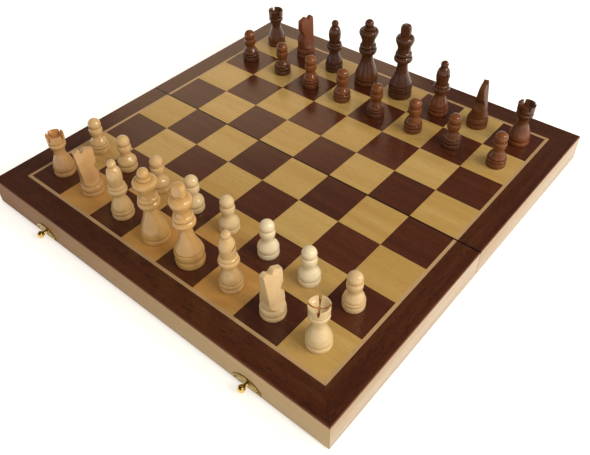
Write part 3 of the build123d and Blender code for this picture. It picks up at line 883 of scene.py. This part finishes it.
# %% Domed nails
NAIL_PITCH = 21.0 * MM
NAIL_HEIGHT = 4.1 * MM
nail_pattern = turned(
    "nail_pattern",
    stroke((0, PLATE - 0.2), (1.15, PLATE - 0.2)),
    stroke((1.15, PLATE - 0.2), (1.2, PLATE + 0.05), (0.85, PLATE + 0.4), (0, PLATE + 0.52)),
)
tell(nail_pattern)
for half, end in ENDS.items():
    for side, hand in zip(SIDES, HANDS):
        for ear, letter in zip(SIDES, "ab"):
            across = side * LATCH_X + ear * NAIL_PITCH / 2
            place = Matrix.Translation((across, end * HALF_LENGTH, NAIL_HEIGHT)) @ facing(end)
            label = f"nail_{half}_{hand}_{letter}"
            place_copy(nail_pattern, label, place, f"{half}_half", brass)
discard(nail_pattern)

# %% [markdown]
# ## Screws of the hinges
#
# Two countersunk screws hold each leaf, each turned as far as the driver happened to leave it. The
# heads lie nearly flush, since those of the two leaves lie face to face when the box is closed. The
# slot is not round and the leaf is the model's own shape, so neither can be part of a turned
# outline. One Boolean cuts the slot out of the screw, and another the countersink out of the leaf.

# %% Screws
HINGE_X = 110.0 * MM
SCREW_PITCH = 15.0 * MM
SCREW_INSET = 5.2 * MM
DRIVER_SLOT = (4 * MM, 0.45 * MM, 0.5 * MM)   # longer than the head is wide, half of it above
screw_pattern = turned(
    "screw_pattern",
    stroke((0, -0.8), (1.0, -0.8)),
    stroke((1.0, -0.8), (1.1, -0.45)),
    stroke((1.1, -0.45), (1.75, 0.0)),
    stroke((1.75, 0.0), (1.5, 0.03), (0, 0.05)),
)
countersink = turned(
    "countersink",
    stroke((0, -0.95), (1.2, -0.95)),
    stroke((1.2, -0.95), (1.9, 0.0)),
    stroke((1.9, 0.0), (1.9, 0.3)),
    stroke((1.9, 0.3), (0, 0.3)),
)
bpy.ops.object.select_all(action="DESELECT")
bpy.ops.mesh.primitive_cube_add(size=1, location=(0, 0, 0))
driver_slot = bpy.context.object
driver_slot.scale = DRIVER_SLOT
apply_place(driver_slot)
apply_modifier(screw_pattern, "BOOLEAN", object=driver_slot, operation="DIFFERENCE")
discard(driver_slot)
tell(screw_pattern)

# %% [markdown]
# ### Setting the screws
#
# A screw is driven from below, so its pattern is turned upside down, and then about its own axis by
# chance. The chance numbers start from a fixed seed, so every run gives the same screws.

# %% Set the screws
turn_of_screw = random.Random(7)
for half, end in ENDS.items():
    for side, hand in zip(SIDES, HANDS):
        for along, letter in zip(SIDES, "ab"):
            spot = (side * HINGE_X + along * SCREW_PITCH / 2, end * SCREW_INSET, 0.0)
            place = (
                Matrix.Translation(spot)
                @ Matrix.Rotation(math.pi, 4, "X")
                @ Matrix.Rotation(turn_of_screw.uniform(0, math.pi), 4, "Z")
            )
            hole = duplicate(countersink, "hole")
            hole.matrix_world = place
            apply_place(hole)
            apply_modifier(hinge_leaves[half], "BOOLEAN", object=hole, operation="DIFFERENCE")
            discard(hole)
            label = f"screw_{half}_{hand}_{letter}"
            place_copy(screw_pattern, label, place, f"{half}_half", brass)
discard(screw_pattern)
discard(countersink)
for leaves in hinge_leaves.values():
    print(leaves.name, len(leaves.data.polygons), "faces")

# %% [markdown]
# ## Lacquered wood of the men
#
# The men are turned from straight sticks, so the grain runs up them, and most are dipped in glossy
# lacquer. The white men are boxwood and range from honey to cream. The black men are stained, and
# stain takes unevenly: some men are nearly black and some russet, and a man may be of another tone
# at the top than at the foot, where the end of the stick drank more. The black knights are sanded
# after the saw and have only a thin satin coat. The sawn faces of the white rooks are bare end
# grain, which turns orange under the lacquer. One wood with a chance tone would be less work, but
# then no man could be given the tone that he has.

# %% Men's materials
MEN_WOODS = {
    # name: early growth, late growth, pores, and the same three where the top turns to others
    "boxwood_honey": (("#b58a58", "#bd9360", "#9e7645"), ("#bb9260", "#c49c6a", "#a57d4d")),
    "boxwood_straw": (("#c3a06a", "#caa874", "#af8a55"), ("#caa874", "#d0b07e", "#b5915e")),
    "boxwood_amber": (("#bc9458", "#c29b61", "#a87f46"), ("#c39b61", "#c9a369", "#af864e")),
    "boxwood_cream": (("#d6bd90", "#dbc498", "#c3a679"), None),
    "boxwood_white": (("#e3d5b2", "#e9dcbc", "#d0bb97"), None),
    "boxwood_pale": (("#d0b386", "#d6ba8e", "#bc9c6f"), None),
    "boxwood_end_grain": (("#ab7440", "#bb8750", "#8b5a2e"), None),
    "ebonised_wood": (("#452615", "#542f1a", "#301a0e"), None),
    "stained_brown": (("#5a321a", "#704122", "#3d2211"), ("#412312", "#553018", "#2d180c")),
    "stained_russet": (("#6b3a1b", "#834a25", "#4a2611"), ("#44230f", "#5b3218", "#31190b")),
    "sanded_brown": (("#6a3c26", "#7c4a31", "#4b2817"), None),
    "sanded_russet": (("#63381c", "#764525", "#472610"), ("#4f2f17", "#633c20", "#38200f")),
    "stained_pawn": (("#482712", "#5d3518", "#321a0a"), ("#653714", "#7d4720", "#4a270e")),
    "stained_pawn_orange": (("#5c3116", "#733f1e", "#41200d"), ("#6f3e1c", "#864e2a", "#512c14")),
}
# Finishes of the men, in the same three numbers as the others.
GLOSS = (0.4, 0.9, 0.045)
STAINED_GLOSS = (0.45, 0.65, 0.085)
STAINED_SATIN = (0.5, 0.12, 0.22)
FINISHES = {"boxwood": GLOSS, "sanded": STAINED_SATIN}      # by the first word of a name
MEN_GRAIN = {"band": 5 * MM, "streak": 0.8 * MM, "pore": 0.4}
UPRIGHT = (0, QUARTER, 0)
men_wood = {}
for name, (shades, top_shades) in MEN_WOODS.items():
    finish = FINISHES.get(name.partition("_")[0], STAINED_GLOSS)
    men_wood[name] = solid_wood(
        name, shades, UPRIGHT, **MEN_GRAIN, finish=finish, top_shades=top_shades
    )
print(len(men_wood), "woods for the men")

# %% [markdown]
# ## The foot that every man shares
#
# All the men stand on a flat ring with a groove above it, cut with the point of the tool. On some a
# second ring follows before the wood draws in to the neck. Every outline could give these points
# again, but two functions keep the rings and grooves of all the men alike.

# %% Foot
RING_GROOVE = 1.4         # mm, depth of the groove beside a flat ring
GROOVE_WIDTH = 0.5        # mm, at the bottom of the groove
FLAT_POWER = 0.42         # gives a ring nearly straight sides


def ring(radius, low, high):
    """A flat ring with a groove at either edge."""
    stem = radius - RING_GROOVE
    edge = GROOVE_WIDTH / 2
    return bead(2 * radius, low + edge, high - edge, stem, stem, FLAT_POWER)


def foot(radius, height):
    """The ring that a man stands on, closed to the axis underneath."""
    stem = radius - RING_GROOVE
    under = stroke((0, 0), (stem, 0))
    return under, bead(2 * radius, 0, height - GROOVE_WIDTH / 2, stem, stem, FLAT_POWER)


# %% [markdown]
# ## Pawn
#
# The simplest man: foot, bulb, one collar and a ball. There are two kinds: on one the bulb rises
# smoothly from the foot, and on the other a second ring comes first. Collar and ball could be
# pieces of their own, but a pawn is one turning, so they belong to its outline, and both kinds
# share them.

# %% Pawn patterns
PAWN_FOOT = 8.8
COLLAR_POWER = 0.5
PAWN_HEAD = (bead(12.4, 19.6, 25.6, 5.2, 4.9, COLLAR_POWER), ball(11.8, 35.0, 4.9))
smooth_pawn = turned(
    "smooth_pawn_pattern",
    *foot(PAWN_FOOT, 5.6),
    stroke(
        (7.9, 5.6), (8.5, 6.3), (8.75, 7.8), (8.4, 9.6), (7.4, 11.4),
        (6.2, 13.0), (5.2, 14.6), (4.8, 16.2), (4.9, 18.4), (5.2, 19.6),
    ),
    *PAWN_HEAD,
)
ringed_pawn = turned(
    "ringed_pawn_pattern",
    *foot(PAWN_FOOT, 5.6),
    ring(8.7, 5.6, 8.9),
    stroke(
        (7.8, 8.9), (8.0, 9.8), (7.4, 11.6), (6.3, 13.4), (5.3, 15.0),
        (4.8, 16.6), (4.9, 18.4), (5.2, 19.6),
    ),
    *PAWN_HEAD,
)
tell(smooth_pawn)
tell(ringed_pawn)

# %% [markdown]
# ## Sawing
#
# The battlements, the cut in the mitre, the flats of the king's finial and the forms of the knight
# are all sawn. One helper does it: the waste is drawn as an outline, filled, extruded right through
# the piece, and taken out with a Boolean. Bisect would cut too, but only straight across, while a
# Boolean takes any outline.

# %% Saw
SAW_REACH = 15.0          # mm that a cut runs out on either side of the axis


def saw_out(piece, outline, turn=0.0):
    """Takes out waste drawn as (across, height) in mm, turned in degrees about Z."""
    points = [Vector((across, -SAW_REACH, height)) * MM for across, height in outline]
    waste = drawn("waste", points)
    bpy.ops.mesh.edge_face_add()
    bpy.ops.mesh.extrude_region_move(
        TRANSFORM_OT_translate={"value": (0, 2 * SAW_REACH * MM, 0)}
    )
    bpy.ops.object.mode_set(mode="OBJECT")
    finish_mesh(waste)
    waste.rotation_euler.z = math.radians(turn)
    apply_place(waste)
    apply_modifier(piece, "BOOLEAN", object=waste, operation="DIFFERENCE", solver="EXACT")
    discard(waste)


# %% [markdown]
# ## Rook
#
# A tower with a dished top and a thin rim. A sphere could scoop out the dish, but here it is part of
# the outline, as it is turned from above. The battlements come from two saw cuts across the top,
# which reach just into the floor of the dish.

# %% Rook pattern
rook = turned(
    "rook_pattern",
    *foot(9.8, 4.6),
    stroke(
        (8.9, 4.6), (9.5, 5.6), (9.65, 7.8), (9.0, 11.0), (7.8, 14.4), (6.4, 17.8),
        (5.4, 20.6), (5.1, 22.6), (5.2, 25.0), (5.8, 27.4), (6.7, 29.2),
    ),
    ring(7.7, 29.2, 33.8),
    stroke((6.8, 33.8), (7.5, 34.2), (7.75, 35.2), (7.8, 38.0), (7.9, 41.0), (7.7, 41.5)),
    stroke((7.1, 41.5), (6.6, 40.6), (5.2, 38.8), (3.0, 37.6), (0, 37.2)),
)
for turn in (0.0, QUARTER_TURN):
    saw_out(rook, ((-1.3, 42.0), (-0.5, 37.3), (0.5, 37.3), (1.3, 42.0)), turn)
tell(rook)

# %% [markdown]
# ## Bishop
#
# A mitre with a ball on top and a thin slanting cut in its side, over a full collar with a narrower
# ring on it. The cut could be a dark line in the material, but a real gap shows from every side and
# catches its own shadow.

# %% Bishop pattern
bishop = turned(
    "bishop_pattern",
    *foot(9.5, 4.6),
    ring(9.4, 4.6, 8.9),
    stroke(
        (8.5, 8.9), (8.65, 10.0), (7.8, 13.2), (6.4, 16.6), (5.3, 19.8), (4.9, 22.2), (5.1, 23.4),
    ),
    stroke((5.4, 23.5), (7.2, 24.9), (8.0, 27.0), (8.0, 28.8), (7.3, 30.4)),
    stroke((6.6, 30.5), (7.1, 31.1), (6.9, 32.2), (5.9, 33.1)),
    stroke(
        (5.2, 33.1), (5.5, 34.4), (6.0, 36.8), (6.3, 39.6), (6.4, 42.0),
        (6.1, 44.8), (5.1, 48.0), (3.6, 50.2), (2.7, 51.0),
    ),
    ball(7.4, 57.0, 2.7),
)
saw_out(bishop, ((3.8, 41.2), (4.6, 40.9), (9.0, 47.0), (8.2, 47.4)))
tell(bishop)

# %% [markdown]
# ## Queen
#
# Taller, with a heavy collar, a waist, and a coronet that flares to a rounded rim. A disc and a ball
# stand on the coronet. One long smooth stroke would blur them all into each other, so each form is a
# stroke of its own and meets the next at a crisp corner.

# %% Queen pattern
queen = turned(
    "queen_pattern",
    *foot(12.0, 5.0),
    stroke(
        (11.1, 5.0), (11.8, 6.4), (11.8, 8.8), (11.1, 12.4), (9.4, 17.2),
        (7.6, 22.0), (6.3, 26.6), (5.7, 30.6), (5.6, 32.6),
    ),
    stroke((5.8, 33.1), (7.4, 34.0), (8.8, 36.0), (9.1, 37.8), (8.8, 39.6), (8.0, 40.6)),
    stroke((7.4, 40.7), (8.0, 41.3), (8.2, 42.5), (7.8, 44.0), (6.9, 44.9)),
    stroke(
        (6.6, 44.9), (6.6, 47.0), (7.0, 49.6), (8.2, 52.6), (9.3, 55.2),
        (9.7, 57.2), (9.4, 58.8), (8.4, 60.0), (6.8, 60.4), (5.2, 60.4),
    ),
    ring(5.6, 60.4, 63.0),
    stroke((4.7, 63.0), (3.2, 63.2)),
    ball(9.0, 70.5, 3.2),
)
tell(queen)

# %% [markdown]
# ## King
#
# The tallest man. His foot carries a deep second ring, and his finial is a plain form of cross: a
# rounded knob that is sliced flat on two sides. A cross could be carved apart and glued on, but the
# knob is turned with the rest and needs two saw cuts only.

# %% King pattern
king = turned(
    "king_pattern",
    *foot(12.0, 7.2),
    ring(11.9, 7.2, 14.1),
    stroke(
        (11.0, 14.1), (10.9, 15.4), (9.9, 17.6), (8.2, 21.4), (6.7, 25.4),
        (5.8, 29.6), (5.3, 33.6), (5.3, 36.6), (5.8, 38.6),
    ),
    stroke((6.4, 38.8), (8.3, 39.7), (9.1, 41.4), (8.8, 43.6), (7.8, 45.0)),
    stroke((7.1, 45.1), (7.8, 45.7), (8.1, 46.9), (7.8, 48.4), (6.9, 49.7)),
    stroke(
        (6.6, 49.7), (6.5, 52.0), (6.7, 54.6), (7.6, 57.2), (8.6, 59.6),
        (9.0, 61.6), (8.8, 63.6), (7.8, 65.2), (6.2, 66.2), (4.6, 66.4),
    ),
    stroke(
        (4.6, 66.5), (5.2, 68.6), (5.3, 71.0), (5.2, 74.0), (4.4, 76.3), (2.8, 77.3), (0, 77.4),
    ),
)
for side in SIDES:
    saw_out(
        king,
        ((side * 3.7, 67.4), (side * 8.0, 67.4), (side * 8.0, 79.0), (side * 3.3, 79.0)),
        QUARTER_TURN,
    )
tell(king)

# %% [markdown]
# ## Knight
#
# The only man that is carved, and as plainly as a saw allows. Two long slices thin the turned blank
# to a wedge that is narrow at the top, and each ends in a short scoop above the foot. The neck is
# hollowed a little behind, and a notch in front parts the jaw from the chest. The crest is a round
# mane, a dip and the ears, from which the brow slopes down to the nose. A horse's head could be
# sculpted, but flat cuts with softly rounded edges are what a cheap set has.

# %% Knight pattern
KNIGHT_EASE = 0.25 * MM
KNIGHT_ANGLE = 38.0       # degrees; the carver's knife rounds edges sharper than this
knight = turned(
    "knight_pattern",
    *foot(10.0, 4.8),
    stroke((9.1, 4.8), (9.8, 5.9), (9.8, 8.0), (9.2, 9.8), (8.5, 10.6)),
    stroke((8.5, 10.7), (8.8, 13.0), (8.9, 18.0), (8.5, 24.0), (8.4, 30.0), (8.5, 45.9)),
    stroke((8.5, 45.9), (0, 45.9)),
)
for side in SIDES:
    saw_out(
        knight,
        (
            (side * 8.9, 10.9), (side * 6.2, 14.4), (side * 1.7, 49.0),
            (side * 13.0, 49.0), (side * 13.0, 10.9),
        ),
        QUARTER_TURN,
    )
nape = (
    (-12.0, 11.0), (-9.0, 11.0), (-7.3, 15.5), (-7.2, 22.0),
    (-8.0, 34.0), (-8.2, 50.0), (-12.0, 50.0),
)
jaw = ((4.2, 27.0), (8.9, 19.5), (12.0, 19.5), (12.0, 32.0), (7.4, 32.0))
crest = (
    (-12.0, 43.0), (-8.2, 44.0), (-6.8, 45.7), (-4.4, 45.6), (-2.8, 43.6), (-1.8, 42.9),
    (-0.8, 43.5), (0.6, 45.6), (2.2, 45.8), (7.8, 42.8), (12.0, 42.0), (12.0, 50.0), (-12.0, 50.0),
)
for waste in (nape, jaw, crest):
    saw_out(knight, waste)
ease_edges(knight, KNIGHT_EASE, 2, KNIGHT_ANGLE)
tell(knight)

# %% [markdown]
# ## Which pattern, wood and turn each man has
#
# The sawn patterns are welded and shaded once more, because a Boolean leaves new edges. The men
# differ in tone and in the way they face, as in a set that was put up in a hurry. Chance could
# choose both, but then no man could be given the ones that he has, so two short lists do.

# %% Patterns, woods and turns
MEN_SMOOTH = 32.0         # degrees; a sharper edge keeps its crease
PATTERNS = {
    "pawn": ringed_pawn,
    "rook": rook,
    "bishop": bishop,
    "queen": queen,
    "king": king,
    "knight": knight,
}
for pattern in (smooth_pawn, *PATTERNS.values()):
    finish_mesh(pattern, MEN_SMOOTH)
SMOOTH_PAWNS = ("b2", "c2", "d2", "e2", "f2", "g2")     # the others have a second ring
# Which way a man is turned on its square, in degrees from X.
TURNS = {
    "a1": 20, "b1": 75, "c1": 150, "e1": 22, "f1": 26, "g1": 82, "h1": 33,
    "a8": 60, "b8": 257, "e8": 20, "f8": -30, "g8": -78, "h8": 42,
}
CHOSEN_WOOD = {
    "boxwood_honey": "a1 b1",
    "boxwood_straw": "c1 f1 a2 b2 c2",
    "boxwood_amber": "d1 e1",
    "boxwood_pale": "g1 h2",
    "boxwood_cream": "h1 d2 e2",
    "boxwood_white": "f2 g2",
    "ebonised_wood": "c8 e8",
    "stained_brown": "a8 d8",
    "stained_russet": "f8 h8",
    "sanded_brown": "b8",
    "sanded_russet": "g8",
    "stained_pawn": "a7 b7 e7 g7",
    "stained_pawn_orange": "c7 d7 f7 h7",
}
wood_at = {square: name for name, squares in CHOSEN_WOOD.items() for square in squares.split()}
print(len(wood_at), "men have their wood")

# %% [markdown]
# ### End grain of the white rooks
#
# The saw leaves the white rooks' cuts as end grain, which drinks the lacquer and turns orange. On
# one rook the whole dish does. The faces could be painted by hand in the Material tab, but here they
# are found by where they lie and which way they face, seen from the man's own axis.

# %% End grain
DISH_RADIUS = 7.2 * MM
DISH_FLOOR = 37.0 * MM
CUT_HALF = 1.4 * MM       # half the width of a saw cut, at its widest
CUT_FLOOR = 37.35 * MM
SIDE_ON = 0.7             # of a face's direction, from which it counts as a side of the cut
DISHED_ROOK = "a1"


def show_end_grain(man, middle, turn, square):
    """Gives the sawn faces of a rook, and on one rook the whole dish, a second material."""
    man.data.materials.append(men_wood["boxwood_end_grain"])
    back = turn.inverted()
    for face in man.data.polygons:
        spot = back @ (face.center - middle)
        normal = back @ face.normal
        if spot.z <= DISH_FLOOR:
            continue
        sawn = any(
            abs(spot[axis]) < CUT_HALF and (abs(normal[axis]) > SIDE_ON or spot.z < CUT_FLOOR)
            for axis in (0, 1)
        )
        in_dish = square == DISHED_ROOK and spot.to_2d().length < DISH_RADIUS
        if sawn or in_dish:
            face.material_index = 1


# %% [markdown]
# ## Setting up the men
#
# Each man stands where the model's man stands: the middle of his foot comes from the node's box.
# One object could be shown thirty-two times, but every copy keeps its own mesh, moved into place, so
# the grain of every man is cut from another part of the noise, as no two sticks of wood are alike.

# %% Set up the men
for name in sorted(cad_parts):
    colour, _, rest = name.partition("_")
    if colour not in ("white", "black"):
        continue
    kind, square = rest.split("_")
    low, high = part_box(name)
    middle = Vector(((low.x + high.x) / 2, (low.y + high.y) / 2, low.z))
    turn = Matrix.Rotation(math.radians(TURNS.get(square, 0)), 4, "Z")
    man = place_copy(
        smooth_pawn if square in SMOOTH_PAWNS else PATTERNS[kind],
        name + "_turned",
        Matrix.Translation(middle) @ turn,
        name,
        men_wood[wood_at[square]],
    )
    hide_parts(name)
    if kind == "rook" and colour == "white":
        show_end_grain(man, middle, turn, square)
for pattern in (smooth_pawn, *PATTERNS.values()):
    discard(pattern)
print("men set up")

# %% [markdown]
# ## Floor
#
# The object stands on plain white ground. To the camera, in reflections and through glass the ground
# glows a little, so that it stays white, but it doesn't light the rails from below. A light path
# node tells these rays from those that carry light.


# %% Floor
def seen(tree):
    """1 for rays of the camera, of reflections and through glass, 0 for those that carry light."""
    rays = add(tree, "LightPath").outputs
    glossy, through = rays["Is Glossy Ray"], rays["Is Transmission Ray"]
    mirrored = add(tree, "Math", {0: glossy, 1: through}, operation="MAXIMUM")
    return add(tree, "Math", {0: rays["Is Camera Ray"], 1: mirrored}, operation="MAXIMUM")


FLOOR_SIZE = 6.0              # metres
FLOOR_DEPTH = 1.5 * MM        # just below the hinge knuckles, which hang lowest
WHITE = (1, 1, 1, 1)
GLOW = 0.5
bpy.ops.object.select_all(action="DESELECT")
bpy.ops.mesh.primitive_plane_add(size=FLOOR_SIZE, location=(0, 0, -FLOOR_DEPTH))
floor = bpy.context.object
floor.name = "floor"
ground, tree, _ = new_material("white_ground")
matt = add(tree, "BsdfDiffuse", {"Color": linear("#f2f2f0")})
glow = add(tree, "Emission", {"Color": WHITE, "Strength": GLOW})
both = add(tree, "AddShader", {0: matt, 1: glow})
surface = add(tree, "MixShader", {0: seen(tree), 1: matt, 2: both})
add(tree, "OutputMaterial", {"Surface": surface})
floor.data.materials.append(ground)
print("floor", FLOOR_SIZE, "m wide")

# %% [markdown]
# ## Surroundings
#
# To the camera and in reflections the room is white with a dark ceiling, so glossy wood shows a
# bright sheen at a low angle and stays dark where it mirrors the ceiling. For the rays that carry
# light the room is dim and a little warm, and brighter to the front right. A picture of a room
# could light the board too, but two gradients are enough and need no file.

# %% World
CEILING_RANGE = (0.12, 0.38)      # how far up a look goes where the room darkens, 0 level, 1 up
CEILING_LIGHT = 0.06
BRIGHT_WAY = (0.72, -0.69, 0.0)
BRIGHT_RANGE = (-0.6, 0.9)        # how far a look goes that way, -1 away from it, 1 straight to it
ROOM_LIGHT = (0.26, 0.93)         # at the two ends of that range
world = bpy.data.worlds.new("studio")
bpy.context.scene.world = world
world.use_nodes = True
tree = world.node_tree
tree.nodes.clear()
outward = add(tree, "TexCoord").outputs["Generated"]
upward = add(tree, "SeparateXYZ", {0: outward}).outputs[2]
low, high = CEILING_RANGE
ceiling = add(tree, "MapRange", {0: upward, 1: low, 2: high, 3: 1.0, 4: CEILING_LIGHT})
bright_side = add(tree, "VectorMath", {0: outward, 1: BRIGHT_WAY}, operation="DOT_PRODUCT")
towards = bright_side.outputs["Value"]
low, high = BRIGHT_RANGE
dim, bright = ROOM_LIGHT
daylight = add(tree, "MapRange", {0: towards, 1: low, 2: high, 3: dim, 4: bright})
white = add(tree, "Background", {"Color": WHITE, "Strength": ceiling})
room = add(tree, "Background", {"Color": linear("#fff6e8"), "Strength": daylight})
add(tree, "OutputWorld", {"Surface": add(tree, "MixShader", {0: seen(tree), 1: room, 2: white})})
print("world", len(tree.nodes), "nodes")

# %% [markdown]
# ## Lamps
#
# The light comes from the right, from six soft lamps set apart like the panes of a window, which give
# the lacquer its small separate highlights. One big lamp would light the board as well, but would
# show as one broad patch. A wide, weak, warm lamp at the other side stands for a wall.


# %% Lamps
PANE_ROWS = (1.0, 1.5)            # metres above the board
PANE_COLUMNS = (-0.1, 0.4, 0.9)
PANE_X = 1.6
PANE_SIZE = (0.16, 0.26)
PANE_POWER = 5.1                  # watts
WALL_PLACE = (-1.34, 1.38, 1.12)
WALL_SIZE = (1.3, 0.6)
WALL_POWER = 3.0


def lamp(name, place, size, power, colour):
    """A soft rectangular lamp that faces the board."""
    data = bpy.data.lights.new(name, "AREA")
    data.shape = "RECTANGLE"
    data.size, data.size_y = size
    data.energy = power
    data.color = linear(colour)[:3]
    made = bpy.data.objects.new(name, data)
    bpy.context.collection.objects.link(made)
    made.location = place
    made.rotation_euler = (-Vector(place)).to_track_quat("-Z", "Y").to_euler()


for row, up in enumerate(PANE_ROWS):
    for column, across in enumerate(PANE_COLUMNS):
        lamp(f"pane_{row}_{column}", (PANE_X, across, up), PANE_SIZE, PANE_POWER, "#fff3e2")
lamp("warm_wall", WALL_PLACE, WALL_SIZE, WALL_POWER, "#ffd9b0")
print(len(PANE_ROWS) * len(PANE_COLUMNS), "panes and a warm wall")

# %% [markdown]
# ## Camera
#
# The camera looks down on the board across its front right corner from close by, so the near men
# are clearly larger than the far ones. Its lens is shifted a little, which sets the board off centre.

# %% Camera
CAMERA_TURN = (47.68, 1.55, 40.50)    # degrees about X, Y and Z
camera_data = bpy.data.cameras.new("camera")
camera = bpy.data.objects.new("camera", camera_data)
bpy.context.collection.objects.link(camera)
camera_data.lens = 40.4
camera_data.shift_x = 0.0203
camera_data.shift_y = -0.0424
camera_data.clip_start = 0.01
camera.location = (0.3093, -0.3600, 0.4023)
camera.rotation_euler = [math.radians(angle) for angle in CAMERA_TURN]
bpy.context.scene.camera = camera
bpy.context.scene.view_settings.view_transform = "Standard"
print("camera", [round(side, 3) for side in camera.location], "m")
